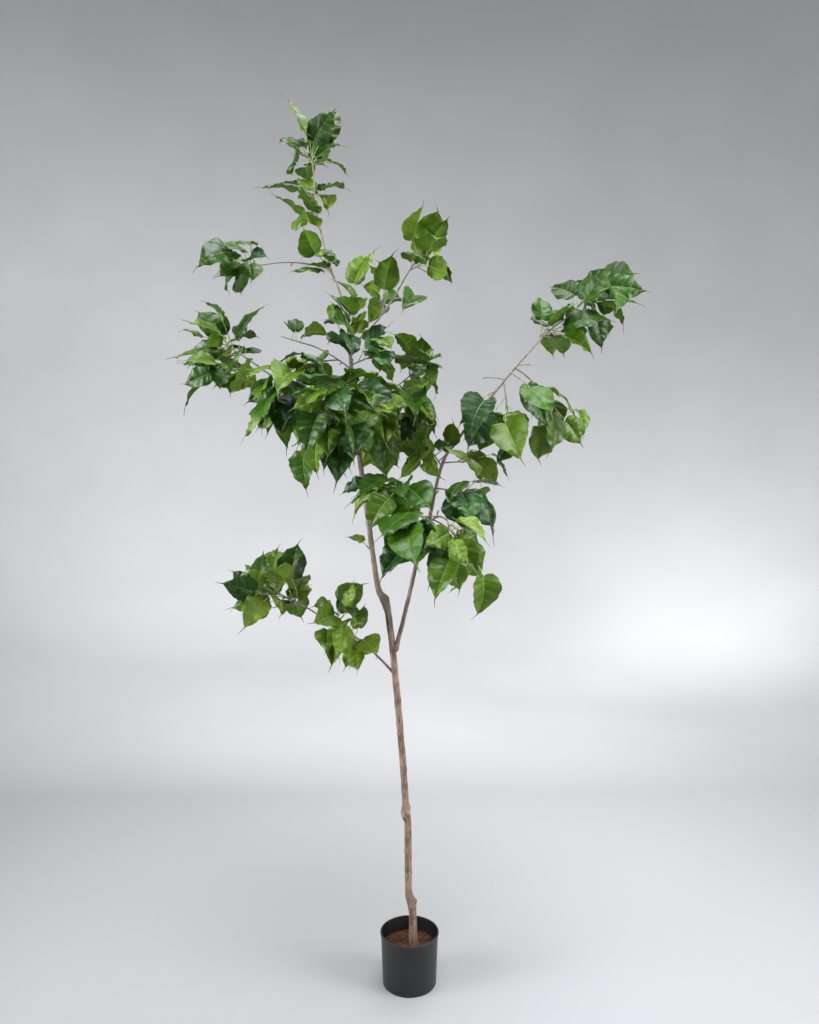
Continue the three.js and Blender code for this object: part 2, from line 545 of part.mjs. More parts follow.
// One leaf of a branch, at its first try that stays in the space and touches nothing, or none.
function placeLeaf(mass, branch, share, turn, atEnd, dice) {
  for (let attempt = 0; attempt < habit.tries; attempt += 1) {
    const roll = turn + dice.between(habit.jitter) + habit.nextTry * attempt;
    const leaf = growLeaf(mass, branch, share, roll, atEnd, dice);
    const sheet = bladeSheet(leaf);
    if (leavesSpace(sheet, mass.space) || leafTouches(sheet, leaf.foot, leaf.base, mass.name)) continue;
    grown.sheets.push(sheet);
    const start = leaf.foot.clone().lerp(leaf.base, stalkEnds.fromTwig);
    const end = leaf.base.clone().lerp(leaf.foot, stalkEnds.fromBlade);
    addRods(mass.name, (t) => start.clone().lerp(end, t), () => twig.stalk, 1);
    return [{ ...leaf, sheet }];
  }
  return [];
}

function growMass(mass, stem) {
  const branches = [stem, ...growForks(mass, stem, makeDice(mass.seed))];
  branches.slice(1).forEach((fork) => addRods(mass.name, (t) => bowedPoint(fork, t), () => twig.forkFoot, 1));
  const weights = branches.map(({ start, end }) => start.distanceTo(end) + habit.tipAllowance);
  const total = weights.reduce((sum, w) => sum + w, 0);
  const leaves = [];
  let number = 0;
  branches.forEach((branch, b) => {
    const count = Math.max(1, Math.floor(mass.leaves * weights[b] / total + 0.5));
    for (let k = 0; k < count; k += 1) {
      number += 1;
      const atEnd = k === count - 1;
      const share = atEnd ? habit.lastLeaf : habit.firstLeaf + (1 - habit.firstLeaf) * (k + 0.5) / count;
      const dice = makeDice(mass.seed * habit.leavesPerSeed + number);
      leaves.push(...placeLeaf(mass, branch, share, habit.goldenAngle * (k + 2 * b), atEnd, dice));
    }
  });
  return { branches, leaves };
}

// A leaf with its stalk. The blade is a lens about its sheet: thickest at the ridge point, and sharp at
// the outline. The stalk is three-sided: it starts inside its twig and opens into the base of the blade.
function leafSolid({ foot, base, axis, normal, side, sheet }) {
  const square = base.clone().sub(foot).normalize().add(axis).normalize();
  const rootRing = stalkRing(foot, square, side, normal, twig.stalkFoot);
  const bladeRing = stalkRing(base, square, side, normal, twig.stalk);
  const half = bladeThickness / 2;
  const rim = sheet.ring.slice(1);
  const points = [
    bladeRing[0], ...rim,
    sheet.ridge.clone().addScaledVector(normal, half), sheet.ridge.clone().addScaledVector(normal, -half),
    bladeRing[1], bladeRing[2], ...rootRing,
  ];
  const [top, under, right, left] = [1, 2, 3, 4].map((i) => rim.length + i);
  const root = left + 1;
  const upperLoop = [0, ...rim.keys()].map((v, i) => (i ? v + 1 : v));
  const lowerLoop = [right, ...upperLoop.slice(1), left];
  const faces = [
    ...upperLoop.map((v, i) => [upperLoop[(i + 1) % upperLoop.length], v, top]),
    ...lowerLoop.map((v, i) => [v, lowerLoop[(i + 1) % lowerLoop.length], under]),
    [0, 1, right], [left, rim.length, 0],
    [0, right, root + 1], [0, root + 1, root], [right, left, root + 2], [right, root + 2, root + 1],
    [left, 0, root], [left, root, root + 2],
    [root, root + 1, root + 2],
  ];
  return toSolid(toGeometry(points, faces));
}

// Three corners square to way: over the blade, and under it to either side.
function stalkRing(centre, way, side, normal, radius) {
  const across = side.clone().addScaledVector(way, -side.dot(way)).normalize();
  const over = across.clone().cross(way);
  if (over.dot(normal) < 0) over.negate();
  return [90, -30, -150].map((angle) => centre.clone()
    .addScaledVector(across, radius * Math.cos(radians(angle)))
    .addScaledVector(over, radius * Math.sin(radians(angle))));
}

function twigSolid(branch, footRadius, tipRadius, steps) {
  const stations = Array.from({ length: steps + 1 }, (_, i) => ({
    centre: bowedPoint(branch, i / steps),
    radius: THREE.MathUtils.lerp(footRadius, tipRadius, i / steps),
  }));
  return toSolid(rodGeometry(stations, twig.sides, sideOf(branch.end.clone().sub(branch.start).normalize())));
}

function massSolid({ branches, leaves }) {
  const pieces = branches.map((branch, b) => (b === 0
    ? twigSolid(branch, twig.foot, twig.tip, branch.bow ? twig.steps : 1)
    : twigSolid(branch, twig.forkFoot, twig.forkTip, 1)));
  pieces.push(...leaves.map(leafSolid));
  return pieces.reduce((sum, piece) => sum.add(piece));
}

// ---- the tree ----

const tree = new THREE.Group();

function addPiece(name, geometry, color, roughness) {
  const mesh = new THREE.Mesh(geometry, new THREE.MeshStandardMaterial({ color, roughness, metalness: 0 }));
  mesh.name = name;
  tree.add(mesh);
}

// A lathe turned about Y stands up along Z.
function turnedUp(profile, sides) {
  const points = profile.map(([r, z]) => new THREE.Vector2(r, z));
  return new THREE.LatheGeometry(points, sides).rotateX(Math.PI / 2);
}

function potRadius(height) {
  return THREE.MathUtils.lerp(pot.footRadius, pot.rimRadius - pot.lip, height / pot.height);
}

function addPot() {
  const lipFoot = pot.height - pot.lipDepth;
  const profile = [
    [0, 0], [pot.footRadius, 0], [potRadius(lipFoot), lipFoot],
    [pot.rimRadius, lipFoot + pot.lip], [pot.rimRadius, pot.height],
    [potRadius(pot.height) - pot.wall, pot.height], [pot.footRadius - pot.wall, pot.floor], [0, pot.floor],
  ];
  addPiece('pot', turnedUp(profile, pot.sides), colours.pot, 0.55);
}

function addFilling(name, bottom, top, color) {
  const air = seat / Math.cos(Math.PI / pot.sides);
  const radiusAt = (height) => THREE.MathUtils.lerp(
    pot.footRadius, potRadius(pot.height), (height - pot.floor) / (pot.height - pot.floor)) - pot.wall - air;
  const profile = [[0, bottom], [radiusAt(bottom), bottom], [radiusAt(top), top], [0, top]];
  addPiece(name, turnedUp(profile, pot.sides), color, 0.95);
}

addPot();
addFilling('cement_fill', pot.floor + seat, fill.top, colours.cement);
addFilling('soil_cover', fill.top + seat, fill.coverTop, colours.cover);

const cutters = Object.fromEntries(Object.values(limbs).map((limb) => [limb.name, limbSolid(limb, seat)]));

for (const limb of Object.values(limbs)) {
  const whole = limbSolid(limb, 0);
  const solid = limb.parent ? mainPiece(whole.subtract(cutters[limb.parent])) : whole;
  addPiece(limb.name, fromSolid(solid), colours.bark, 0.85);
  const count = Math.max(limbChecks.least, Math.ceil(limb.length / limbChecks.spacing));
  addRods(limb.name, limb.pointAt, limb.radiusAt, count);
}

const stems = masses.map(({ limb, at, heading, climb, reach, bow = 0 }) => {
  const start = limbs[limb].pointAt(at);
  return { start, end: start.clone().addScaledVector(aim(heading, climb), reach), bow };
});
masses.forEach((mass, i) => addRods(mass.name, (t) => bowedPoint(stems[i], t), () => twig.foot, twig.steps));

masses.forEach((mass, i) => {
  const solid = mainPiece(massSolid(growMass(mass, stems[i])).subtract(cutters[mass.limb]));
  addPiece(mass.name, fromSolid(solid), colours.leaves[i % colours.leaves.length], 0.6);
});

export default tree;
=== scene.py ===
import math

import bpy
import numpy as np
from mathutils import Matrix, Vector, noise


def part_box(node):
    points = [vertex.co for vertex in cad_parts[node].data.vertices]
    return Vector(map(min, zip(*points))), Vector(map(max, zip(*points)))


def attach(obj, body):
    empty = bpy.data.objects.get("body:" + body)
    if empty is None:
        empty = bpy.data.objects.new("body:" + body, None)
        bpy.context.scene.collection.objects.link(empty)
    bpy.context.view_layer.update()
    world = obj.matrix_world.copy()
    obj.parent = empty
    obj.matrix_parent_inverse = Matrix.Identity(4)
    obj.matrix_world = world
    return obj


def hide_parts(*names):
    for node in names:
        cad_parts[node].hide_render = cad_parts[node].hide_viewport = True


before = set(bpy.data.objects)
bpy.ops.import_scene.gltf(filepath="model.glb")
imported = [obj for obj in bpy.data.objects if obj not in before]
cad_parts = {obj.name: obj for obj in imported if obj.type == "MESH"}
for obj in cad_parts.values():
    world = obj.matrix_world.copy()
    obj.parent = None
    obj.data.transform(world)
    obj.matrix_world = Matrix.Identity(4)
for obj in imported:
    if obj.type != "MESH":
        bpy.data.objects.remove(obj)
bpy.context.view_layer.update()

millimetre = 0.001  # shapes are worked out in millimetres and turned to metres as their mesh is made
scene = bpy.context.scene


def linearColour(hexColour):
    channels = [int(hexColour[i:i + 2], 16) / 255 for i in (1, 3, 5)]
    return [c / 12.92 if c <= 0.04045 else ((c + 0.055) / 1.055) ** 2.4 for c in channels] + [1.0]


# adds a node with its settings, values, links and, for a ramp, its stops
def addNode(tree, kind, values=None, links=None, stops=None, **settings):
    node = tree.nodes.new(kind)
    for name, value in settings.items():
        setattr(node, name, value)
    for name, value in (values or {}).items():
        node.inputs[name].default_value = value
    for name, (source, output) in (links or {}).items():
        tree.links.new(source.outputs[output], node.inputs[name])
    for number, (position, hexColour) in enumerate(stops or []):
        elements = node.color_ramp.elements
        stop = elements[number] if number < 2 else elements.new(position)
        stop.position = position
        stop.color = linearColour(hexColour)
    return node


def startMaterial(name, look):
    material = bpy.data.materials.new(name)
    material.use_nodes = True
    tree = material.node_tree
    shader = tree.nodes["Principled BSDF"]
    shader.inputs["Roughness"].default_value = look["roughness"]
    shader.inputs["IOR"].default_value = look["ior"]
    material.diffuse_color = linearColour(look["colours"][1])
    return material, tree, shader


# a heap gathers the points, faces and places of what is joined into one piece
def newHeap():
    return dict(points=[], faces=[], places=[], count=0)


def addTo(heap, points, faces, places):
    heap["points"].append(points)
    heap["faces"].append(np.asarray(faces) + heap["count"])
    heap["places"].append(places)
    heap["count"] += len(points)


# place is three numbers at each point, read by the material so that a pattern follows the piece's shape
def makeMesh(name, heap, material):
    points = np.vstack(heap["points"]) * millimetre
    faces = [face for part in heap["faces"] for face in part.tolist()]
    mesh = bpy.data.meshes.new(name)
    mesh.from_pydata(points.tolist(), [], faces)
    mesh.polygons.foreach_set("use_smooth", [True] * len(mesh.polygons))
    places = mesh.attributes.new("place", "FLOAT_VECTOR", "POINT")
    places.data.foreach_set("vector", np.vstack(heap["places"]).astype(float).ravel())
    mesh.materials.append(material)
    mesh.update()
    made = bpy.data.objects.new(name, mesh)
    scene.collection.objects.link(made)
    return made


def makePiece(name, heap, material, slot, nodes=()):
    piece = makeMesh(name, heap, material)
    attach(piece, "root")
    if nodes:
        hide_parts(*nodes)
    print(f"{name}: {sum(len(face.vertices) - 2 for face in piece.data.polygons)} triangles")
    return piece


def unit(vector):
    return vector / math.sqrt(float(vector @ vector))


def gridFaces(rows, columns, closed=False):
    wide = columns if closed else columns - 1
    i, k = np.meshgrid(np.arange(rows - 1), np.arange(wide), indexing="ij")
    nextK = (k + 1) % columns
    corners = [i * columns + k, i * columns + nextK, (i + 1) * columns + nextK, (i + 1) * columns + k]
    return np.stack(corners, axis=-1).reshape(-1, 4)


axisGap = 0.01  # the innermost radius of a turned shape: its hole is too small to show


# a shape turned about the upright axis, from its profile of radius and height
def lathe(profile, sides):
    turns = np.linspace(0, 2 * math.pi, sides, endpoint=False)
    radii, heights = np.array(profile, dtype=float).T
    points = np.stack([np.outer(radii, np.cos(turns)), np.outer(radii, np.sin(turns)),
                       np.outer(heights, np.ones(sides))], axis=-1).reshape(-1, 3)
    return points, gridFaces(len(profile), sides, closed=True)


# a smooth line through points, evenly shared out over 0 to 1
def smoothLine(points):
    points = np.array(points, dtype=float)
    ends = np.vstack([2 * points[0] - points[1], points, 2 * points[-1] - points[-2]])

    def pointAt(t):
        place = (len(points) - 1) * t
        i = min(int(place), len(points) - 2)
        w = place - i
        before, here, there, after = ends[i:i + 4]
        leaving, arriving = (there - before) / 2, (after - here) / 2
        return (here + leaving * w + (3 * (there - here) - 2 * leaving - arriving) * w ** 2
                + (2 * (here - there) + leaving + arriving) * w ** 3)

    return pointAt
# the studio: a level camera, a bowl of pale paper all round, and soft lights
camera = dict(place=(0, -2.120, 1.326), lens=26.37, sensor=36, clipEnd=40)  # metres, millimetres for the lens
studio = dict(floorRadius=3000, wallRadius=6800, wallHeight=12000, curveSteps=48, sides=160,
              world="#f2f2f2", worldStrength=0.12)
lights = {  # place, target and size in metres, power in watts, spread in degrees
    "leftSoftbox": dict(place=(-2.6, -0.9, 2.1), target=(0, 0, 1.6), size=(1.4, 2.4), power=30, spread=75),
    "rightSoftbox": dict(place=(2.6, -0.9, 2.1), target=(0, 0, 1.5), size=(1.4, 2.4), power=38, spread=100),
    "topSoftbox": dict(place=(0.1, -0.9, 4.3), target=(0, 0.1, 1.2), size=(2.4, 2.0), power=38, spread=80),
    "backWash": dict(place=(-0.4, 0.9, 2.8), target=(-0.5, 6.8, 3.6), size=(3.2, 1.6), power=222, spread=175),
    "leftWash": dict(place=(-2.8, -0.6, 1.8), target=(-6.2, -1.4, 2.4), size=(2.4, 1.2), power=60,
                     spread=175),
    "rightWash": dict(place=(2.8, -0.6, 1.8), target=(6.2, -1.4, 2.4), size=(2.4, 1.2), power=60, spread=175),
    "frontWash": dict(place=(0, -2.6, 1.8), target=(0, -6.2, 2.6), size=(3.2, 1.2), power=75, spread=175),
    "floorWash": dict(place=(1.3, 2.3, 4.6), target=(1.5, 2.2, 0), size=(4.0, 3.0), power=72, spread=135),
    "paperGlow": dict(place=(2.2, 3.0, 1.6), target=(2.35, 5.4, 0.4), size=(0.8, 0.8), power=13, spread=140),
    "leftGlow": dict(place=(-1.5, 3.0, 1.9), target=(-2.2, 6.5, 2.3), size=(1.2, 1.2), power=20, spread=150),
}

cameraData = bpy.data.cameras.new("camera")
cameraData.lens = camera["lens"]
cameraData.sensor_width = camera["sensor"]
cameraData.sensor_fit = "AUTO"
cameraData.clip_end = camera["clipEnd"]
cameraObject = bpy.data.objects.new("camera", cameraData)
cameraObject.location = camera["place"]
cameraObject.rotation_euler = (math.pi / 2, 0, 0)
scene.collection.objects.link(cameraObject)
scene.camera = cameraObject
scene.view_settings.view_transform = "Standard"

world = bpy.data.worlds.new("studioAir")
world.use_nodes = True
world.node_tree.nodes["Background"].inputs["Color"].default_value = linearColour(studio["world"])
world.node_tree.nodes["Background"].inputs["Strength"].default_value = studio["worldStrength"]
scene.world = world

for name, light in lights.items():
    data = bpy.data.lights.new(name, "AREA")
    data.shape = "RECTANGLE"
    data.size, data.size_y = light["size"]
    data.energy = light["power"]
    data.spread = math.radians(light["spread"])
    lamp = bpy.data.objects.new(name, data)
    lamp.location = light["place"]
    lamp.rotation_euler = (Vector(light["target"]) - lamp.location).to_track_quat("-Z", "Y").to_euler()
    lamp.visible_camera = False
    scene.collection.objects.link(lamp)

# Matte seamless paper: no weave and hardly any grain at this distance, with painted shade making it darker
# round the middle.
paperLook = dict(colours=["#b9babc", "#bebfc1"], roughness=0.9, ior=1.45, cloud=833,
                 shade="#abadb0", shadeFull=0.2, shadeNone=3.0)  # shadeFull and shadeNone in metres
paper, paperTree, paperShader = startMaterial("mattePaper", paperLook)
paperPlace = addNode(paperTree, "ShaderNodeTexCoord")
paperGrain = addNode(paperTree, "ShaderNodeTexNoise",
                     values={"Scale": 1 / (paperLook["cloud"] * millimetre), "Detail": 2.0},
                     links={"Vector": (paperPlace, "Object")})
paperTone = addNode(paperTree, "ShaderNodeValToRGB", links={"Fac": (paperGrain, "Fac")},
                    stops=list(zip((0.3, 0.7), paperLook["colours"])))
# painted shade: near the middle the paper is mixed toward the shade colour, fully within shadeFull of the
# centre and not at all beyond shadeNone
paperReach = addNode(paperTree, "ShaderNodeVectorMath", operation="LENGTH",
                     links={0: (paperPlace, "Object")})
paperPaintedShade = addNode(paperTree, "ShaderNodeMapRange", links={"Value": (paperReach, "Value")},
                    values={"From Min": paperLook["shadeFull"], "From Max": paperLook["shadeNone"],
                            "To Min": 1.0, "To Max": 0.0})
paperPaintedShadeMix = addNode(paperTree, "ShaderNodeMix", data_type="RGBA",
                   values={7: linearColour(paperLook["shade"])},
                   links={0: (paperPaintedShade, "Result"), 6: (paperTone, "Color")})
paperTree.links.new(paperPaintedShadeMix.outputs[2], paperShader.inputs["Base Color"])

bend = studio["wallRadius"] - studio["floorRadius"]
bowl = [(axisGap, 0), (studio["floorRadius"] / 2, 0)]
for i in range(studio["curveSteps"] + 1):
    turn = math.pi / 2 * i / studio["curveSteps"]
    bowl.append((studio["floorRadius"] + bend * math.sin(turn), bend * (1 - math.cos(turn))))
bowl.append((studio["wallRadius"], studio["wallHeight"]))
backdropHeap = newHeap()
bowlPoints, bowlFaces = lathe(bowl, studio["sides"])
addTo(backdropHeap, bowlPoints, bowlFaces, bowlPoints)
backdrop = makeMesh("paperBowl", backdropHeap, paper)
print("studio and camera set up")


# each line is a limb's centre from foot to tip, as across, depth, height and radius
limbLines = {
    "trunk": dict(limb=None, points=[
        (11, 0, 106.3, 12.2), (9, 1, 190, 11.2), (6, 1, 224, 13.2), (-2, 2, 256, 10.3), (-4, 5, 368, 10.4),
        (-5, 4, 448, 10.0), (-11, 2, 478, 12.8), (-12, 1, 523, 9.4), (-25, -2, 696, 9.5), (-43, 0, 894, 9.4),
        (-60, 4, 1037, 9.4), (-73, 5, 1080, 11.8), (-91, 4, 1122, 7.9), (-117, -2, 1306, 7.2),
        (-149, 3, 1534, 6.8)]),
    "upper_stem": dict(limb="trunk", points=[
        (-150, 3, 1518, 6.4), (-155, 2, 1600, 6.4), (-163, -4, 1713, 6.0), (-170, 0, 1823, 5.2)]),
    "leader_twig": dict(limb="upper_stem", points=[
        (-169, 0, 1812, 3.8), (-179, -4, 1893, 3.2), (-201, -2, 1959, 2.9), (-228, 6, 2029, 2.7),
        (-248, 10, 2107, 2.5), (-267, 4, 2201, 2.3), (-271, -4, 2285, 2.1)]),
    "right_leader": dict(limb="trunk", points=[
        (-41, 0, 930, 6.6), (-14, -8, 1036, 6.0), (22, -20, 1192, 5.8), (51, -26, 1290, 5.2),
        (89, -36, 1454, 4.6), (131, -44, 1523, 4.2), (249, -56, 1673, 3.4), (376, -40, 1817, 2.4),
        (439, -30, 1867, 2.0)]),
}
limbMarks = 200  # steps along a limb to measure its length

# each bough starts on its limb at 0 to 1 of the way up, toward a heading (0 is +X, 90 is +Y) and a climb
boughs = {
    "bough_left_high": dict(limb="leader_twig", at=0.46, heading=198, climb=-2, length=195, bow=14,
                            radii=(2.0, 1.5)),
    "bough_right_high": dict(limb="upper_stem", at=0.92, heading=349, climb=48, length=225, bow=-22,
                             radii=(3.4, 2.2)),
    "bough_left_twig": dict(limb="upper_stem", at=0.71, heading=156, climb=32, length=145, bow=6,
                            radii=(2.4, 1.9)),
    "bough_left_mid": dict(limb="upper_stem", at=0.38, heading=199, climb=22, length=295, bow=-20,
                           radii=(4.0, 2.2)),
    "bough_front": dict(limb="upper_stem", at=0.29, heading=261, climb=4, length=195, bow=10,
                        radii=(3.6, 2.2)),
    "bough_back": dict(limb="upper_stem", at=0.50, heading=95, climb=17, length=220, bow=10,
                       radii=(3.6, 2.2)),
    "bough_centre_right": dict(limb="upper_stem", at=0.45, heading=16, climb=24, length=160, bow=-12,
                               radii=(3.6, 2.2)),
    "bough_low_left": dict(limb="trunk", at=0.6314, heading=180, climb=38, length=270, bow=20,
                           radii=(3.6, 2.0)),
    "bough_right_front": dict(limb="right_leader", at=0.37, heading=282, climb=6, length=210, bow=16,
                              radii=(3.2, 2.0)),
}

upward = np.array((0.0, 0.0, 1.0))
front = np.array((0.0, -1.0, 0.0))
steepest = 0.9  # a direction's share of height above which its side is taken from +X


def aim(heading, climb):
    h, c = math.radians(heading), math.radians(climb)
    return np.array((math.cos(h) * math.cos(c), math.sin(h) * math.cos(c), math.sin(c)))


def sideOf(direction):
    reference = upward if abs(direction[2]) < steepest else np.array((1.0, 0.0, 0.0))
    return unit(np.cross(direction, reference))


def turned(vector, axis, angle):
    a = math.radians(angle)
    return (vector * math.cos(a) + np.cross(axis, vector) * math.sin(a)
            + axis * (float(axis @ vector) * (1 - math.cos(a))))


def leaned(direction, across, angle):
    a = math.radians(angle)
    return direction * math.cos(a) + across * math.sin(a)


def bowedPoint(twig, t):
    return twig["start"] + (twig["end"] - twig["start"]) * t + upward * (twig["bow"] * 4 * t * (1 - t))


def lineLimb(name, line):
    steps = len(line["points"]) - 1
    radii = [point[3] for point in line["points"]]
    pointAt = smoothLine([point[:3] for point in line["points"]])

    def radiusAt(t):
        i = min(int(t * steps), steps - 1)
        return radii[i] + (radii[i + 1] - radii[i]) * (t * steps - i)

    marks = np.array([pointAt(i / limbMarks) for i in range(limbMarks + 1)])
    length = float(np.linalg.norm(np.diff(marks, axis=0), axis=1).sum())
    return dict(name=name, limb=line["limb"], pointAt=pointAt, radiusAt=radiusAt, length=length)


def boughLimb(name, bough, start):
    reach = aim(bough["heading"], bough["climb"]) * bough["length"]
    arc = dict(start=start, end=start + reach, bow=bough["bow"])
    foot, tip = bough["radii"]
    return dict(name=name, limb=bough["limb"], pointAt=lambda t: bowedPoint(arc, t),
                radiusAt=lambda t: foot + (tip - foot) * t, length=bough["length"])


limbs = {name: lineLimb(name, line) for name, line in limbLines.items()}
for name, bough in boughs.items():
    limbs[name] = boughLimb(name, bough, limbs[bough["limb"]]["pointAt"](bough["at"]))
print(f"{len(limbs)} limbs laid out")


# Real stem wood in its bark, kiln dried: matte, pinkish brown fibres, short dark slits, paler worn patches.
# Its sizes are in millimetres. It turns grey between the heights greyFrom and greyTo, in metres.
barkLook = dict(colours=["#43332b", "#80685a", "#b39d8b"], aged="#8b8781", roughness=0.82, ior=1.5,
                fibreWidth=2.4, fibreLength=38, patch=48, patchShare=0.42, slitWidth=3.6, slitLength=24,
                fleckWidth=7, fleckLength=17, fleckShare=0.7, greyFrom=0.9, greyTo=1.35, greyShare=0.5,
                reliefDepth=0.6)
# The same bark on thin twigs, greyer and finer.
twigLook = dict(colours=["#4d4339", "#7a6c5c", "#9c8f7c"], aged="#857f76", roughness=0.75, ior=1.5,
                fibreWidth=1.2, fibreLength=14, patch=30, patchShare=0.42, slitWidth=1.6, slitLength=9,
                fleckWidth=3, fleckLength=8, fleckShare=0.7, greyFrom=0.9, greyTo=1.35, greyShare=0.5,
                reliefDepth=0.25)


# place holds the way round and along the limb in millimetres, so patterns are drawn out along it
def barkMaterial(name, look):
    material, tree, shader = startMaterial(name, look)
    dark, main, pale = look["colours"]
    place = addNode(tree, "ShaderNodeAttribute", attribute_name="place")
    fibreScale = (1 / look["fibreWidth"], 1 / look["fibreWidth"], 1 / look["fibreLength"])
    fibrePlace = addNode(tree, "ShaderNodeMapping", values={"Scale": fibreScale},
                         links={"Vector": (place, "Vector")})
    fibres = addNode(tree, "ShaderNodeTexNoise", values={"Scale": 1.0, "Detail": 4.0, "Roughness": 0.6},
                     links={"Vector": (fibrePlace, "Vector")})
    fibreTone = addNode(tree, "ShaderNodeValToRGB", links={"Fac": (fibres, "Fac")},
                        stops=[(0.28, dark), (0.5, main), (0.74, pale)])
    patches = addNode(tree, "ShaderNodeTexNoise", values={"Scale": 1 / look["patch"], "Detail": 2.0},
                      links={"Vector": (place, "Vector")})
    patchTone = addNode(tree, "ShaderNodeValToRGB", links={"Fac": (patches, "Fac")},
                        stops=[(0.38, dark), (0.5, main), (0.64, pale)])
    toned = addNode(tree, "ShaderNodeMix", data_type="RGBA", values={0: look["patchShare"]},
                    links={6: (fibreTone, "Color"), 7: (patchTone, "Color")})
    fleckScale = (1 / look["fleckWidth"], 1 / look["fleckWidth"], 1 / look["fleckLength"])
    fleckPlace = addNode(tree, "ShaderNodeMapping", values={"Scale": fleckScale},
                         links={"Vector": (place, "Vector")})
    fleckNoise = addNode(tree, "ShaderNodeTexNoise", values={"Scale": 1.0, "Detail": 2.0},
                         links={"Vector": (fleckPlace, "Vector")})
    flecks = addNode(tree, "ShaderNodeMapRange", interpolation_type="SMOOTHSTEP",
                     values={"From Min": 0.58, "From Max": 0.7, "To Max": look["fleckShare"]},
                     links={"Value": (fleckNoise, "Fac")})
    worn = addNode(tree, "ShaderNodeMix", data_type="RGBA", values={7: linearColour(pale)},
                   links={0: (flecks, "Result"), 6: (toned, 2)})
    standing = addNode(tree, "ShaderNodeTexCoord")
    height = addNode(tree, "ShaderNodeSeparateXYZ", links={"Vector": (standing, "Object")})
    greying = addNode(tree, "ShaderNodeMapRange", links={"Value": (height, "Z")},
                      values={"From Min": look["greyFrom"], "From Max": look["greyTo"],
                              "To Max": look["greyShare"]})
    greyed = addNode(tree, "ShaderNodeMix", data_type="RGBA", values={7: linearColour(look["aged"])},
                     links={0: (greying, "Result"), 6: (worn, 2)})
    slitScale = (1 / look["slitWidth"], 1 / look["slitWidth"], 1 / look["slitLength"])
    slitPlace = addNode(tree, "ShaderNodeMapping", values={"Scale": slitScale},
                        links={"Vector": (place, "Vector")})
    slitNoise = addNode(tree, "ShaderNodeTexNoise", values={"Scale": 1.0, "Detail": 1.0},
                        links={"Vector": (slitPlace, "Vector")})
    slits = addNode(tree, "ShaderNodeMapRange", interpolation_type="SMOOTHSTEP",
                    values={"From Min": 0.64, "From Max": 0.72}, links={"Value": (slitNoise, "Fac")})
    coloured = addNode(tree, "ShaderNodeMix", data_type="RGBA", values={7: linearColour(dark)},
                       links={0: (slits, "Result"), 6: (greyed, 2)})
    tree.links.new(coloured.outputs[2], shader.inputs["Base Color"])
    depth = addNode(tree, "ShaderNodeMath", operation="SUBTRACT",
                    links={0: (fibres, "Fac"), 1: (slits, "Result")})
    bump = addNode(tree, "ShaderNodeBump",
                   values={"Strength": 0.9, "Distance": look["reliefDepth"] * millimetre},
                   links={"Height": (depth, "Value")})
    tree.links.new(bump.outputs["Normal"], shader.inputs["Normal"])
    return material


# a tube along centres, with its relief given by the way round, the way along and the radius
def tube(centres, radii, sides, relief=None):
    centres, radii = np.array(centres), np.array(radii)
    ways = np.gradient(centres, axis=0)
    lengths = np.concatenate([[0], np.cumsum(np.linalg.norm(np.diff(centres, axis=0), axis=1))])
    side = sideOf(unit(ways[0]))
    turns = np.linspace(0, 2 * math.pi, sides, endpoint=False)
    points, places = [], []
    for centre, way, radius, length in zip(centres, ways, radii, lengths):
        way = unit(way)
        side = unit(side - way * float(side @ way))
        other = np.cross(way, side)
        circle = np.stack([np.cos(turns), np.sin(turns)], axis=1)
        bumps = np.zeros(sides)
        if relief:
            bumps = np.array([relief(turn, float(length), float(radius)) for turn in turns])
        points.append(centre + (circle * (radius + bumps)[:, None]) @ np.array([side, other]))
        places.append(np.column_stack([circle * radius, np.full(sides, length)]))
    faces = gridFaces(len(centres), sides, closed=True)
    return np.vstack(points), faces, np.vstack(places)


domeRing = dict(width=0.6, rise=0.7)  # the ring inside a closed end, in shares of its width and its rise


# closes the end of a tube with a low dome over its last ring
def closeEnd(heap, ring, ringPlaces, way, rise):
    sides = len(ring)
    middle = ring.mean(axis=0)
    rounded = middle + (ring - middle) * domeRing["width"] + way * rise * domeRing["rise"]
    roundedPlaces = ringPlaces * (domeRing["width"], domeRing["width"], 1)
    faces = [[k, (k + 1) % sides, sides + (k + 1) % sides, sides + k] for k in range(sides)]
    addTo(heap, np.vstack([ring, rounded]), faces, np.vstack([ringPlaces, roundedPlaces]))
    fan = [[k, (k + 1) % sides, sides] for k in range(sides)]
    addTo(heap, np.vstack([rounded, middle + way * rise]), fan,
          np.vstack([roundedPlaces, ringPlaces.mean(axis=0)]))


# relief in millimetres: a limb thinner than fullRadius gets less, and shift keeps limbs from looking alike
limbShape = dict(
    ringGap=3.0, leastRings=8, sides=dict(trunk=48, upper_stem=32, right_leader=28), otherSides=18,
    fibre=0.36, fibreAcross=1.5, fibreAlong=24, lump=0.9, lumpAcross=7, lumpAlong=34, fullRadius=6,
    firstShifts=97, shift=3.7, endRise=0.8,
    collar=0.34, collarLength=11, sunken=0.55, trunkFlare=0.18, trunkFlareLength=14,
)
# knots and scars on the trunk: height, heading (0 is +X and 90 is +Y, None goes all round), spread and rise
knots = [
    dict(height=227, heading=338, spread=6, rise=5.0), dict(height=236, heading=150, spread=9, rise=1.6),
    dict(height=466, heading=215, spread=9, rise=3.8), dict(height=480, heading=278, spread=7, rise=2.6),
    dict(height=494, heading=345, spread=9, rise=3.8), dict(height=478, heading=None, spread=6, rise=0.8),
    dict(height=1084, heading=350, spread=9, rise=4.4), dict(height=1062, heading=190, spread=10, rise=1.4),
    dict(height=905, heading=235, spread=10, rise=1.8), dict(height=700, heading=300, spread=7, rise=1.5),
    dict(height=600, heading=15, spread=6, rise=1.4), dict(height=372, heading=205, spread=7, rise=1.5),
    dict(height=800, heading=350, spread=8, rise=1.3), dict(height=1250, heading=330, spread=7, rise=1.5),
    dict(height=1400, heading=210, spread=7, rise=1.3), dict(height=560, heading=120, spread=8, rise=1.6),
]
knotFade = dict(along=3, round=0.8)  # in spreads: how far along a knot is worked out, and how wide it is
firstSide = 90  # the heading of the first point of each of the trunk's rings


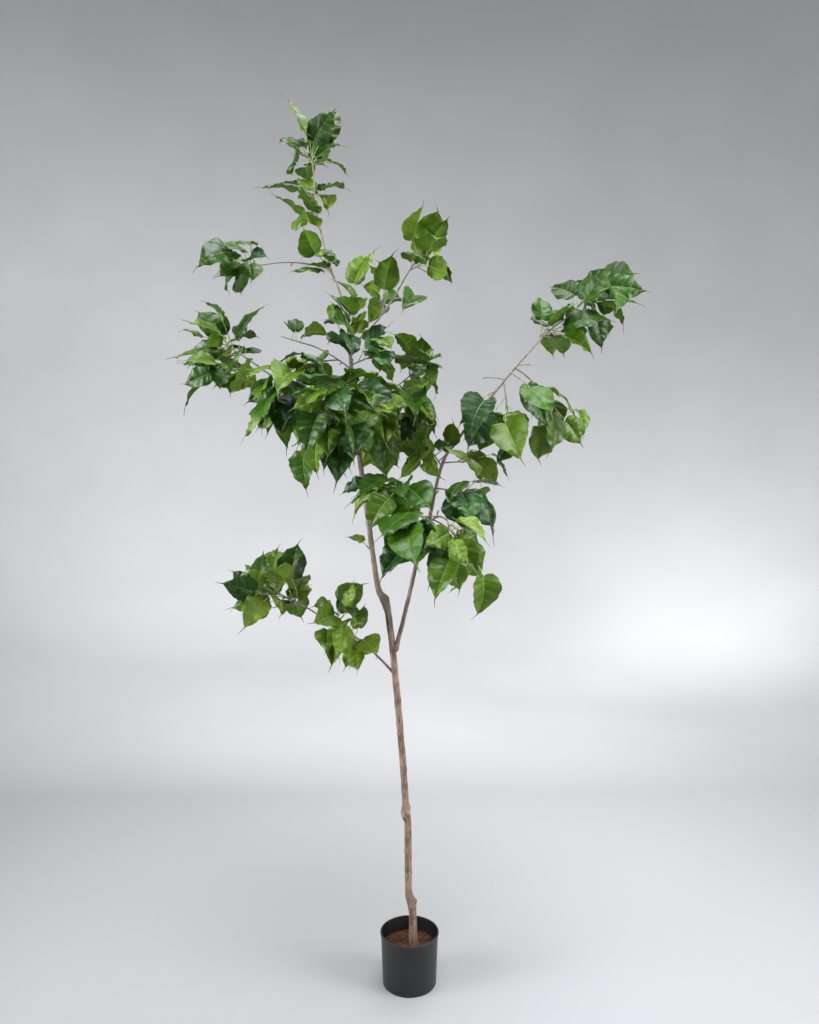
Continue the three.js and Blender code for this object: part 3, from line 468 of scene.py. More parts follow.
def knotRelief(height, turn, radius):
    rise = 0.0
    for knot in knots:
        apart = (height - knot["height"]) / knot["spread"]
        if abs(apart) >= knotFade["along"]:
            continue
        facing = 1.0
        if knot["heading"] is not None:
            swing = (turn - math.radians(knot["heading"] - firstSide) + math.pi) % (2 * math.pi) - math.pi
            facing = math.exp(-(swing * radius / (knot["spread"] * knotFade["round"])) ** 2)
        rise += knot["rise"] * facing * math.exp(-apart ** 2)
    return rise


def barkRelief(limb):
    look = limbShape
    foot = limb["pointAt"](0)[2]
    parentRadius = limbs[limb["limb"]]["radiusAt"](0.5) if limb["limb"] else 0
    shift = sum(ord(letter) for letter in limb["name"]) % look["firstShifts"] * look["shift"]

    def relief(turn, length, radius):
        x, y = math.cos(turn) * radius, math.sin(turn) * radius
        small = min(1.0, radius / look["fullRadius"])
        fibrePlace = Vector((x / look["fibreAcross"], y / look["fibreAcross"],
                             length / look["fibreAlong"] + shift))
        lumpPlace = Vector((x / look["lumpAcross"], y / look["lumpAcross"],
                            length / look["lumpAlong"] - shift))
        rise = look["fibre"] * small * noise.noise(fibrePlace) + look["lump"] * small * noise.noise(lumpPlace)
        if limb["limb"]:
            out = length - parentRadius
            rise += radius * look["collar"] * math.exp(-max(0, out) / look["collarLength"])
            rise -= radius * (look["sunken"] + look["collar"]) * min(1.0, max(0.0, -out / parentRadius)) ** 2
            return rise
        rise += radius * look["trunkFlare"] * math.exp(-length / look["trunkFlareLength"])
        return rise + knotRelief(length + foot, turn, radius)

    return relief


barkHeap = newHeap()
for limb in limbs.values():
    sides = limbShape["sides"].get(limb["name"], limbShape["otherSides"])
    rings = max(limbShape["leastRings"], math.ceil(limb["length"] / limbShape["ringGap"]))
    shares = np.linspace(0, 1, rings + 1)
    centres = [limb["pointAt"](t) for t in shares]
    points, faces, places = tube(centres, [limb["radiusAt"](t) for t in shares], sides, barkRelief(limb))
    addTo(barkHeap, points, faces, places)
    lastRing, lastWay = points[-sides:], unit(centres[-1] - centres[-2])
    if limb["name"] == "trunk":
        sawnRing, sawnWay = lastRing, lastWay
    else:
        closeEnd(barkHeap, lastRing, places[-sides:], lastWay, limb["radiusAt"](1) * limbShape["endRise"])
bark = barkMaterial("driedStemBark", barkLook)
makePiece("trunkAndBoughs", barkHeap, bark, "bark", list(limbs))

# The trunk's sawn top: bare pale end grain, dry and matte, with growth rings 2.6 mm apart.
sawnLook = dict(colours=["#8d6f52", "#c9b08c", "#dcc8a6"], roughness=0.8, ior=1.5, ringGap=2.573)
sawnShape = dict(shares=[1.0, 0.93, 0.6, 0.3, 0.02], rise=0.5)  # rings of the face, the first on the bark
waveGap = 2 * math.pi / 20  # how far apart the wave texture's rings lie at a scale of 1
sawn, sawnTree, sawnShader = startMaterial("sawnEndGrain", sawnLook)
sawnPlace = addNode(sawnTree, "ShaderNodeAttribute", attribute_name="place")
sawnRings = addNode(sawnTree, "ShaderNodeTexWave", wave_type="RINGS", rings_direction="Z",
                    values={"Scale": waveGap / sawnLook["ringGap"], "Distortion": 1.5},
                    links={"Vector": (sawnPlace, "Vector")})
sawnTone = addNode(sawnTree, "ShaderNodeValToRGB", links={"Fac": (sawnRings, "Fac")},
                   stops=list(zip((0.1, 0.5, 0.9), sawnLook["colours"])))
sawnTree.links.new(sawnTone.outputs["Color"], sawnShader.inputs["Base Color"])
sawnBump = addNode(sawnTree, "ShaderNodeBump", values={"Strength": 0.5, "Distance": 0.3 * millimetre},
                   links={"Height": (sawnRings, "Fac")})
sawnTree.links.new(sawnBump.outputs["Normal"], sawnShader.inputs["Normal"])
sawnHeap = newHeap()
sawnMiddle = sawnRing.mean(axis=0)
sawnPoints, sawnPlaces = [], []
for share in sawnShape["shares"]:
    rise = sawnShape["rise"] if share < 1 else 0.0
    sawnPoints.append(sawnMiddle + (sawnRing - sawnMiddle) * share + sawnWay * rise)
    sawnPlaces.append((sawnRing - sawnMiddle) * share * (1, 1, 0))
sawnFaces = gridFaces(len(sawnPoints), len(sawnRing), closed=True)
addTo(sawnHeap, np.vstack(sawnPoints), sawnFaces, np.vstack(sawnPlaces))
makePiece("trunkSawnEnd", sawnHeap, sawn, "bark")
print("bark laid on the trunk and boughs")


# space is the room a mass keeps to (left, right, bottom, top), face turns its leaves to the front or the back
masses = [
    dict(name="tuft_top", limb="leader_twig", at=1, heading=142, climb=82, reach=45,
         space=[-405, -155, 2290, 2480], forks=1, forkReach=30,
         leaves=10, blade=104, face=1, droop=0, lift=0.5, seed=3),
    dict(name="tuft_second", limb="leader_twig", at=0.81, heading=201, climb=75, reach=30,
         space=[-415, -155, 2210, 2295],
         leaves=4, blade=104, face=0.6, droop=0.05, lift=0.3, seed=7),
    dict(name="tuft_third", limb="leader_twig", at=0.69, heading=246, climb=46, reach=30,
         space=[-385, -210, 2105, 2215],
         leaves=5, blade=106, face=0.9, droop=0.15, lift=0.3, seed=8),
    dict(name="tuft_fourth", limb="leader_twig", at=0.40, heading=229, climb=45, reach=45,
         space=[-335, -175, 1935, 2105],
         leaves=6, blade=76, face=0.2, droop=0.15, lift=0.15, seed=4),
    dict(name="spray_left_high", limb="bough_left_high", at=1, heading=195, climb=11, reach=60,
         space=[-555, -305, 1935, 2070],
         leaves=7, blade=110, face=1, droop=0.2, lift=0.1, seed=5),
    dict(name="spray_back_high", limb="upper_stem", at=0.88, heading=86, climb=60, reach=215,
         space=[-215, -105, 1945, 2145],
         leaves=3, blade=102, face=0.5, droop=0, lift=0.4, seed=1),
    dict(name="spray_right_top", limb="bough_right_high", at=1, heading=331, climb=52, reach=105,
         space=[-60, 115, 1940, 2175], forks=2, forkReach=45,
         leaves=8, blade=116, face=-1, droop=0.05, lift=0.4, seed=6),
    dict(name="spray_right_in", limb="bough_right_high", at=0.58, heading=72, climb=53, reach=100,
         space=[-125, -20, 1840, 2040], forks=1, forkReach=30,
         leaves=6, blade=96, face=-1, droop=0.2, lift=0.3, seed=9),
    dict(name="spray_right_out", limb="bough_right_high", at=0.83, heading=299, climb=-14, reach=100,
         space=[-30, 80, 1845, 1940],
         leaves=1, blade=112, face=1, droop=0.4, lift=0, seed=3),
    dict(name="tuft_stem", limb="upper_stem", at=0.93, heading=267, climb=20, reach=55,
         space=[-235, -115, 1740, 1905], forks=2, forkReach=40,
         leaves=10, blade=98, face=0.3, droop=0.25, lift=0.3, seed=8),
    dict(name="spray_stem_right", limb="upper_stem", at=0.75, heading=320, climb=10, reach=105,
         space=[-160, -35, 1705, 1825], forks=1, forkReach=30,
         leaves=7, blade=104, face=0.5, droop=0.35, lift=0.1, seed=10),
    dict(name="spray_left_twig", limb="bough_left_twig", at=1, heading=161, climb=19, reach=110,
         space=[-385, -185, 1805, 1900],
         leaves=5, blade=82, face=0.1, droop=0.2, lift=0.2, seed=2),
    dict(name="spray_left_dark", limb="bough_left_twig", at=0.33, heading=136, climb=4, reach=170,
         space=[-415, -220, 1695, 1825],
         leaves=6, blade=102, face=0.6, droop=0.2, lift=0.1, seed=5),
    dict(name="spray_left_up", limb="bough_left_mid", at=1, heading=163, climb=33, reach=110,
         space=[-630, -350, 1720, 1890], forks=1, forkReach=40,
         leaves=12, blade=102, face=0.6, droop=0.05, lift=0.2, seed=6),
    dict(name="spray_left_out", limb="bough_left_mid", at=0.92, heading=206, climb=-1, reach=115,
         space=[-615, -370, 1630, 1765], forks=1, forkReach=40,
         leaves=8, blade=110, face=0.6, droop=0.1, lift=0, seed=1),
    dict(name="spray_left_in", limb="bough_left_mid", at=0.58, heading=251, climb=1, reach=115, bow=10,
         space=[-430, -195, 1530, 1730], forks=2, forkReach=50,
         leaves=12, blade=112, face=0.6, droop=0.2, lift=0.1, seed=6),
    dict(name="spray_front", limb="bough_front", at=1, heading=258, climb=8, reach=60,
         space=[-280, -50, 1475, 1670], forks=2, forkReach=60,
         leaves=11, blade=114, face=0.5, droop=0.15, lift=0.1, seed=5),
    dict(name="spray_front_low", limb="bough_front", at=0.67, heading=220, climb=-37, reach=85,
         space=[-295, -120, 1425, 1620], forks=1, forkReach=50,
         leaves=9, blade=116, face=0.6, droop=0.3, lift=0, seed=6),
    dict(name="spray_hanging", limb="bough_front", at=0.33, heading=195, climb=-32, reach=185,
         space=[-360, -260, 1335, 1515],
         leaves=3, blade=112, face=1, droop=0.9, lift=0, seed=8),
    dict(name="spray_right_mid", limb="bough_centre_right", at=1, heading=359, climb=39, reach=50,
         space=[-80, 95, 1650, 1820], forks=2, forkReach=50,
         leaves=10, blade=110, face=-1, droop=0.2, lift=0.2, seed=3),
    dict(name="spray_low_far", limb="bough_low_left", at=1, heading=166, climb=23, reach=175, bow=8,
         space=[-510, -220, 1005, 1240], forks=3, forkReach=80,
         leaves=16, blade=108, face=0.9, droop=0.2, lift=0.2, seed=3),
    dict(name="spray_low_left", limb="bough_low_left", at=0.75, heading=256, climb=3, reach=75,
         space=[-255, -125, 905, 1135], forks=1, forkReach=50,
         leaves=7, blade=106, face=0.6, droop=0.3, lift=0, seed=13),
    dict(name="spray_low_right", limb="bough_low_left", at=0.42, heading=236, climb=30, reach=85,
         space=[-185, -30, 900, 1055], forks=1, forkReach=50,
         leaves=8, blade=102, face=0.8, droop=0.3, lift=0.2, seed=8),
    dict(name="leaf_on_trunk", limb="trunk", at=0.8971, heading=214, climb=41, reach=25,
         space=[-185, -105, 1215, 1270],
         leaves=1, blade=56, face=0.2, droop=0.1, lift=0, seed=4),
    dict(name="spray_right_head", limb="right_leader", at=0.50, heading=216, climb=49, reach=60,
         space=[-25, 150, 1415, 1570], forks=1, forkReach=40,
         leaves=8, blade=102, face=-0.6, droop=0.3, lift=0.1, seed=4),
    dict(name="spray_right_left", limb="right_leader", at=0.43, heading=230, climb=10, reach=160, bow=8,
         space=[-175, 60, 1295, 1435], forks=1, forkReach=40,
         leaves=11, blade=112, face=0.7, droop=0.2, lift=0, seed=10),
    dict(name="spray_right_fore", limb="bough_right_front", at=0.58, heading=243, climb=1, reach=150,
         space=[-85, 70, 1185, 1360], forks=1, forkReach=40,
         leaves=8, blade=120, face=0.9, droop=0.3, lift=0, seed=10),
    dict(name="spray_right_drop", limb="bough_right_front", at=1, heading=276, climb=-18, reach=65,
         space=[40, 180, 1115, 1330], forks=1, forkReach=40,
         leaves=7, blade=118, face=1, droop=0.45, lift=0, seed=10),
    dict(name="spray_right_foot", limb="right_leader", at=0.39, heading=322, climb=-36, reach=185, bow=20,
         space=[120, 280, 1020, 1255], forks=1, forkReach=60,
         leaves=6, blade=106, face=0.8, droop=0.6, lift=0, seed=6),
    dict(name="spray_mid_left", limb="right_leader", at=0.74, heading=243, climb=-18, reach=75,
         space=[135, 250, 1500, 1680],
         leaves=3, blade=122, face=1, droop=0.4, lift=0, seed=8),
    dict(name="spray_mid_centre", limb="right_leader", at=0.76, heading=294, climb=-75, reach=100,
         space=[175, 320, 1425, 1625], forks=1, forkReach=40,
         leaves=5, blade=116, face=1, droop=0.6, lift=0, seed=2),
    dict(name="spray_mid_right", limb="right_leader", at=0.78, heading=292, climb=-28, reach=90,
         space=[245, 395, 1555, 1710],
         leaves=4, blade=122, face=1, droop=0.4, lift=0.1, seed=3),
    dict(name="spray_mid_end", limb="right_leader", at=0.79, heading=22, climb=-40, reach=185, bow=10,
         space=[340, 515, 1435, 1690], forks=1, forkReach=40,
         leaves=6, blade=108, face=0.7, droop=0.5, lift=0, seed=8),
    dict(name="spray_high_low", limb="right_leader", at=0.84, heading=49, climb=42, reach=100,
         space=[305, 535, 1730, 1935], forks=1, forkReach=50,
         leaves=8, blade=110, face=0.9, droop=0.3, lift=0.2, seed=2),
    dict(name="spray_high_end", limb="right_leader", at=1, heading=9, climb=45, reach=85,
         space=[395, 635, 1795, 2020], forks=3, forkReach=55,
         leaves=12, blade=108, face=0.9, droop=0.25, lift=0.2, seed=12),
    dict(name="spray_left_under", limb="bough_left_mid", at=0.50, heading=178, climb=-12, reach=90,
         space=[-425, -250, 1535, 1675], forks=1, forkReach=50,
         leaves=8, blade=112, face=0.8, droop=0.4, lift=0, seed=1),
    dict(name="spray_inner_right", limb="upper_stem", at=0.40, heading=303, climb=-7, reach=145,
         space=[-180, -15, 1470, 1690], forks=1, forkReach=50,
         leaves=10, blade=114, face=0.6, droop=0.35, lift=0, seed=4),
    dict(name="spray_right_under", limb="bough_centre_right", at=0.83, heading=321, climb=-39, reach=70,
         space=[-100, 80, 1440, 1695], forks=1, forkReach=50,
         leaves=10, blade=112, face=0.3, droop=0.4, lift=0, seed=4),
    dict(name="spray_right_side", limb="right_leader", at=0.45, heading=311, climb=-7, reach=105,
         space=[70, 235, 1280, 1420], forks=1, forkReach=40,
         leaves=8, blade=118, face=0.4, droop=0.35, lift=0.1, seed=10),
    dict(name="spray_mid_low", limb="right_leader", at=0.51, heading=32, climb=5, reach=105,
         space=[140, 285, 1400, 1530], forks=1, forkReach=30,
         leaves=4, blade=112, face=-0.7, droop=0.5, lift=0, seed=10),
    dict(name="spray_back", limb="bough_back", at=1, heading=102, climb=31, reach=60,
         space=[-295, -50, 1545, 1780], forks=2, forkReach=60,
         leaves=9, blade=112, face=-0.8, droop=0.3, lift=0.1, seed=3),
    dict(name="spray_back_left", limb="bough_back", at=0.17, heading=125, climb=-4, reach=190,
         space=[-335, -165, 1505, 1715], forks=1, forkReach=50,
         leaves=7, blade=112, face=-0.8, droop=0.4, lift=0, seed=1),
    dict(name="spray_back_low", limb="upper_stem", at=0.22, heading=73, climb=5, reach=155,
         space=[-175, -15, 1455, 1665], forks=1, forkReach=50,
         leaves=8, blade=112, face=-0.8, droop=0.4, lift=0, seed=3),
]

habit = dict(
    leavesPerSeed=100, tries=40,
    goldenAngle=137.5, jitter=(-35, 35), nextTry=57,
    firstLeaf=0.35, lastLeaf=0.96,
    endSpread=(5, 35), sideSpread=(40, 78),
    stalk=(0.35, 0.62), blade=(0.68, 1.12), width=(0.94, 1.08), tailBend=(-0.5, 0.5),
    droop=(0.4, 1.5), sway=0.5, swayClimb=(-35, 35),
    outwardFace=0.8, frontFace=1.3, roll=(-40, 40), arch=(9, 54), fold=(5, 40),
    forkFrom=0.25, forkSpan=0.6, forkLean=(35, 63), forkReach=(0.75, 1.2),
    tipAllowance=30, branchTurns=2, stalkFree=(0.08, 0.02),
)
clearance = dict(blade=8, rod=3.5, stalk=5, girth=5)  # what stays free between leaves, twigs and stalks
twigSize = dict(foot=2.8, forkFoot=2.2, stalk=1.2, steps=4)  # how thick they are taken to be as leaves grow
limbRods = dict(least=6, length=30)  # straight rods that a limb is taken for
rodMarks = (0.3, 0.4, 0.5, 0.6, 0.7, 0.8, 0.9, 1)  # where the room round a new fork or stalk is looked at
diceRule = dict(modulus=2147483647, multiplier=16807, seedStep=7919, seedStart=104729, warmUp=3)
plainOutline = [(0, 0), (-0.08, 0.21), (0.24, 0.46), (0.82, 0.19), (1.27, 0)]  # half a plain leaf
ridge = 0.45  # where the plain leaf's fold is highest
midribProbes = [0.04, 0.3, 0.6, 0.9, 1.2]
sideProbes = [(0, 0.2), (0.12, 0.38), (0.32, 0.22), (0.42, 0.42), (0.62, 0.17), (0.70, 0.29)]

plainRing = np.array(plainOutline + [(along, -out) for along, out in plainOutline[-2:0:-1]], dtype=float)
tailPoint = len(plainOutline) - 1
probePoints = np.array([(along, 0) for along in midribProbes] + sideProbes
                       + [(along, -out) for along, out in sideProbes], dtype=float)


# each seed gives its own row of numbers from 0 to 1, the same at every run
def makeDice(seed):
    state = (seed * diceRule["seedStep"] + diceRule["seedStart"]) % diceRule["modulus"]

    def roll():
        nonlocal state
        state = state * diceRule["multiplier"] % diceRule["modulus"]
        return state / diceRule["modulus"]

    for _ in range(diceRule["warmUp"]):
        roll()
    return roll


def between(dice, span):
    return span[0] + (span[1] - span[0]) * dice()


# points of a blade, by shares of its length along the midrib and out from it
def bladePoints(leaf, alongOut, lift=0.0):
    along, out = alongOut[..., 0], alongOut[..., 1] * leaf["width"]
    bend, length = leaf["arch"] * along, leaf["length"]
    onAxis = length * np.sin(bend) / leaf["arch"] + lift * np.sin(bend)
    onNormal = (length * ((np.cos(bend) - 1) / leaf["arch"] + np.abs(out) * math.sin(leaf["fold"]))
                + lift * np.cos(bend))
    onSide = length * (out * math.cos(leaf["fold"]) + leaf["tailBend"] * np.maximum(0, along - 1))
    return (leaf["base"] + onAxis[..., None] * leaf["axis"] + onNormal[..., None] * leaf["normal"]
            + onSide[..., None] * leaf["side"])


def plainSheet(leaf):
    ring = bladePoints(leaf, plainRing)
    top = bladePoints(leaf, np.array([[ridge, 0.0]]))
    corners = np.vstack([ring, top])
    centre = corners.mean(axis=0)
    faces = np.stack([ring, np.roll(ring, -1, axis=0), np.repeat(top, len(ring), axis=0)], axis=1)
    girth = float(np.linalg.norm(corners - centre, axis=1).max()) + clearance["girth"]
    return dict(ring=ring, faces=faces, probes=bladePoints(leaf, probePoints), centre=centre, girth=girth)


# whether any of these straight lines goes through any of these triangles
def pierces(starts, ends, triangles):
    ways = ends - starts
    a = triangles[:, 0]
    first, second = triangles[:, 1] - a, triangles[:, 2] - a
    normals = np.cross(first, second)
    steep = ways @ normals.T
    safe = np.where(steep == 0, 1.0, steep)
    apart = starts[:, None] - a[None]
    u = (ways[:, None] * np.cross(apart, second[None])).sum(axis=2) / safe
    v = (ways[:, None] * np.cross(first[None], apart)).sum(axis=2) / safe
    t = -(apart * normals[None]).sum(axis=2) / safe
    return bool(((steep != 0) & (u >= 0) & (v >= 0) & (u + v <= 1) & (t >= 0) & (t <= 1)).any())


# what has grown so far: straight rods (limbs, twigs, leaf stalks) with their owners, and the leaves
grown = dict(starts=[], ends=[], radii=[], owners=[], sheets=[])


def addRods(owner, pointAt, radiusAt, count):
    for i in range(count):
        grown["starts"].append(pointAt(i / count))
        grown["ends"].append(pointAt((i + 1) / count))
        grown["radii"].append(max(radiusAt(i / count), radiusAt((i + 1) / count)))
        grown["owners"].append(owner)


def rodDistances(points, starts, ends, radii):
    ways = ends - starts
    t = ((points[:, None] - starts[None]) * ways[None]).sum(axis=2) / (ways ** 2).sum(axis=1)
    nearest = starts[None] + np.clip(t, 0, 1)[..., None] * ways[None]
    return np.linalg.norm(points[:, None] - nearest, axis=2) - radii


def touchesSheet(sheet, other):
    apart = float(np.linalg.norm(sheet["centre"] - other["centre"]))
    if apart >= sheet["girth"] + other["girth"]:
        return False
    gaps = np.linalg.norm(sheet["probes"][:, None] - other["probes"][None], axis=2)
    return (bool((gaps < clearance["blade"]).any())
            or pierces(sheet["ring"], np.roll(sheet["ring"], -1, axis=0), other["faces"])
            or pierces(other["ring"], np.roll(other["ring"], -1, axis=0), sheet["faces"]))


# whether a new fork or stalk would touch a leaf, or come near a rod of another mass
def rodBlocked(start, end, owner):
    length = float(np.linalg.norm(end - start))
    for sheet in grown["sheets"]:
        if (np.linalg.norm(sheet["centre"] - start) < sheet["girth"] + length
                and pierces(start[None], end[None], sheet["faces"])):
            return True
    others = np.array([other != owner for other in grown["owners"]])
    starts, ends = np.array(grown["starts"])[others], np.array(grown["ends"])[others]
    radii = np.array(grown["radii"])[others]
    near = rodDistances(start[None], starts, ends, radii)[0] < length + clearance["stalk"]
    if not near.any():
        return False
    marks = np.array([start + (end - start) * t for t in rodMarks])
    return bool((rodDistances(marks, starts[near], ends[near], radii[near]) < clearance["stalk"]).any())


def leafTouches(sheet, foot, base, owner):
    starts, ends, radii = np.array(grown["starts"]), np.array(grown["ends"]), np.array(grown["radii"])
    near = rodDistances(sheet["centre"][None], starts, ends, radii)[0] < sheet["girth"]
    if near.any():
        starts, ends, radii = starts[near], ends[near], radii[near]
        if (rodDistances(sheet["probes"], starts, ends, radii) < clearance["rod"]).any():
            return True
        if pierces(starts, ends, sheet["faces"]):
            return True
    return (any(touchesSheet(sheet, other) for other in grown["sheets"])
            or rodBlocked(foot + (base - foot) * habit["stalkFree"][0], base, owner))


def leavesSpace(sheet, space):
    ring = np.delete(sheet["ring"], tailPoint, axis=0)
    left, right, bottom, top = space
    return bool((ring[:, 0] < left).any() or (ring[:, 0] > right).any()
                or (ring[:, 2] < bottom).any() or (ring[:, 2] > top).any())


def growForks(mass, stem, dice):
    along = unit(stem["end"] - stem["start"])
    side = sideOf(along)
    roll = between(dice, (0, 360))
    forks = []
    for k in range(mass.get("forks", 0)):
        start = bowedPoint(stem, habit["forkFrom"] + habit["forkSpan"] * (k + 0.5) / mass["forks"])
        across = turned(side, along, roll + k * habit["goldenAngle"])
        way = unit(leaned(along, across, between(dice, habit["forkLean"])))
        end = start + way * (mass["forkReach"] * between(dice, habit["forkReach"]))
        if not rodBlocked(start, end, mass["name"]):
            forks.append(dict(start=start, end=end, bow=0))
    return forks


def growLeaf(mass, branch, share, roll, atEnd, dice):
    foot = bowedPoint(branch, share)
    along = unit(branch["end"] - branch["start"])
    across = turned(sideOf(along), along, roll)
    spread = between(dice, habit["endSpread"] if atEnd else habit["sideSpread"])
    way = unit(leaned(along, across, spread) + upward * mass["lift"])
    length = mass["blade"] * between(dice, habit["blade"])
    base = foot + way * (length * between(dice, habit["stalk"]))
    droop = mass["droop"] * between(dice, habit["droop"])
    sway = aim(between(dice, (0, 360)), between(dice, habit["swayClimb"]))
    axis = unit(way - upward * droop + sway * habit["sway"])
    face = upward + way * habit["outwardFace"] + front * (mass["face"] * habit["frontFace"])
    normal = turned(unit(face - axis * float(face @ axis)), axis, between(dice, habit["roll"]))
    arch, fold = math.radians(between(dice, habit["arch"])), math.radians(between(dice, habit["fold"]))
    width, tailBend = between(dice, habit["width"]), between(dice, habit["tailBend"])
    return dict(foot=foot, base=base, axis=axis, normal=normal, side=np.cross(normal, axis), length=length,
                arch=arch, fold=fold, width=width, tailBend=tailBend)


def placeLeaf(mass, branch, share, turn, atEnd, dice):
    for attempt in range(habit["tries"]):
        roll = turn + between(dice, habit["jitter"]) + habit["nextTry"] * attempt
        leaf = growLeaf(mass, branch, share, roll, atEnd, dice)
        sheet = plainSheet(leaf)
        foot, base = leaf["foot"], leaf["base"]
        if leavesSpace(sheet, mass["space"]) or leafTouches(sheet, foot, base, mass["name"]):
            continue
        grown["sheets"].append(sheet)
        start = foot + (base - foot) * habit["stalkFree"][0]
        end = base + (foot - base) * habit["stalkFree"][1]
        addRods(mass["name"], lambda t: start + (end - start) * t, lambda t: twigSize["stalk"], 1)
        leaf["dice"] = dice  # goes on to the leaf's tint and waves
        return [leaf]
    return []


def growMass(mass, stem):
    branches = [stem] + growForks(mass, stem, makeDice(mass["seed"]))
    for fork in branches[1:]:
        addRods(mass["name"], lambda t: bowedPoint(fork, t), lambda t: twigSize["forkFoot"], 1)
    weights = [float(np.linalg.norm(b["end"] - b["start"])) + habit["tipAllowance"] for b in branches]
    leaves = []
    number = 0
    for b, branch in enumerate(branches):
        count = max(1, math.floor(mass["leaves"] * weights[b] / sum(weights) + 0.5))
        for k in range(count):
            number += 1
            atEnd = k == count - 1
            share = habit["firstLeaf"] + (1 - habit["firstLeaf"]) * (k + 0.5) / count
            turn = habit["goldenAngle"] * (k + habit["branchTurns"] * b)
            dice = makeDice(mass["seed"] * habit["leavesPerSeed"] + number)
            leaves += placeLeaf(mass, branch, habit["lastLeaf"] if atEnd else share, turn, atEnd, dice)
    return branches, leaves


for limb in limbs.values():
    rods = max(limbRods["least"], math.ceil(limb["length"] / limbRods["length"]))
    addRods(limb["name"], limb["pointAt"], limb["radiusAt"], rods)
stems = []
for mass in masses:
    start = limbs[mass["limb"]]["pointAt"](mass["at"])
    reach = aim(mass["heading"], mass["climb"]) * mass["reach"]
    stem = dict(start=start, end=start + reach, bow=mass.get("bow", 0))
    addRods(mass["name"], lambda t: bowedPoint(stem, t), lambda t: twigSize["foot"], twigSize["steps"])
    stems.append(stem)
foliage = [growMass(mass, stem) for mass, stem in zip(masses, stems)]
print(f"{sum(len(leaves) for branches, leaves in foliage)} leaves grown in {len(masses)} masses")


# the nursery pot: injection moulded, thin walled, with a turned-out rim and a shallow foot ring
potSize = dict(rim=82.5, foot=75.0, height=143.0, wall=2.4, lip=1.6, lipDepth=7.0, floor=3.0,
               footRing=9.0, footHollow=1.6, sides=160)
# Moulded polypropylene, carbon black: a soft satin sheen with a faint even grain and slight handling marks.
potLook = dict(colours=["#161617", "#1b1b1c", "#212122"], roughness=0.4, roughnessDrift=0.06, ior=1.49,
               grain=0.6, grainDepth=0.06, mark=46)
potPlastic, potTree, potShader = startMaterial("mouldedPolypropylene", potLook)
potPlace = addNode(potTree, "ShaderNodeTexCoord")
potMarks = addNode(potTree, "ShaderNodeTexNoise",
                   values={"Scale": 1 / (potLook["mark"] * millimetre), "Detail": 3.0},
                   links={"Vector": (potPlace, "Object")})
potTone = addNode(potTree, "ShaderNodeValToRGB", links={"Fac": (potMarks, "Fac")},
                  stops=list(zip((0.3, 0.5, 0.75), potLook["colours"])))
potTree.links.new(potTone.outputs["Color"], potShader.inputs["Base Color"])
potRough = addNode(potTree, "ShaderNodeMapRange", links={"Value": (potMarks, "Fac")},
                   values={"To Min": potLook["roughness"] - potLook["roughnessDrift"],
                           "To Max": potLook["roughness"] + potLook["roughnessDrift"]})
potTree.links.new(potRough.outputs["Result"], potShader.inputs["Roughness"])
potGrain = addNode(potTree, "ShaderNodeTexNoise",
                   values={"Scale": 1 / (potLook["grain"] * millimetre), "Detail": 1.0},
                   links={"Vector": (potPlace, "Object")})
potBump = addNode(potTree, "ShaderNodeBump",
                  values={"Strength": 0.35, "Distance": potLook["grainDepth"] * millimetre},
                  links={"Height": (potGrain, "Fac")})
potTree.links.new(potBump.outputs["Normal"], potShader.inputs["Normal"])


def wallRadius(height):
    return potSize["foot"] + (potSize["rim"] - potSize["lip"] - potSize["foot"]) * height / potSize["height"]


foot, rim, top = potSize["foot"], potSize["rim"], potSize["height"]
hollow, ringEdge = potSize["footHollow"], foot - potSize["footRing"]
lipFoot = top - potSize["lipDepth"]
innerRim = wallRadius(top) - potSize["wall"]
innerFoot = foot - potSize["wall"]
potProfile = [  # radius and height, from the middle of the underside out, up the wall and down the inside
    (axisGap, hollow), (ringEdge - 3, hollow), (ringEdge - 1, 0.3), (ringEdge, 0),
    (foot - 3, 0), (foot - 1.2, 0.5), (foot - 0.2, 1.8), (wallRadius(4), 4), (wallRadius(40), 40),
    (wallRadius(90), 90), (wallRadius(lipFoot - 0.8), lipFoot - 0.8),
    (wallRadius(lipFoot) + 0.2, lipFoot), (rim - 0.4, lipFoot + 1.3), (rim, lipFoot + 2.2),
    (rim, top - 1.2), (rim - 0.4, top - 0.35), (rim - 1.3, top), (innerRim + 0.9, top),
    (innerRim + 0.2, top - 0.3), (innerRim, top - 1.1), (innerRim - 0.8, 110), (innerRim - 2.6, 70),
    (innerFoot + 0.4, potSize["floor"] + 2), (innerFoot - 2, potSize["floor"]), (axisGap, potSize["floor"]),
]
potHeap = newHeap()
potPoints, potFaces = lathe(potProfile, potSize["sides"])
addTo(potHeap, potPoints, potFaces[:, ::-1], potPoints)
makePiece("nurseryPot", potHeap, potPlastic, "pot", ["pot"])

# Cast cement under the cover: grey, gritty and dead matt.
cementLook = dict(colours=["#77746e", "#8d8a84", "#a19e97"], roughness=0.95, ior=1.5, grit=1.2, gritDepth=0.5)
cement, cementTree, cementShader = startMaterial("castCement", cementLook)
cementPlace = addNode(cementTree, "ShaderNodeTexCoord")
cementGrit = addNode(cementTree, "ShaderNodeTexNoise",
                     values={"Scale": 1 / (cementLook["grit"] * millimetre)},
                     links={"Vector": (cementPlace, "Object")})
cementTone = addNode(cementTree, "ShaderNodeValToRGB", links={"Fac": (cementGrit, "Fac")},
                     stops=list(zip((0.3, 0.5, 0.7), cementLook["colours"])))
cementTree.links.new(cementTone.outputs["Color"], cementShader.inputs["Base Color"])
cementBump = addNode(cementTree, "ShaderNodeBump",
                     values={"Strength": 0.8, "Distance": cementLook["gritDepth"] * millimetre},
                     links={"Height": (cementGrit, "Fac")})
cementTree.links.new(cementBump.outputs["Normal"], cementShader.inputs["Normal"])
for slotPlace in bpy.data.objects["cement_fill"].material_slots:
    slotPlace.material = cement
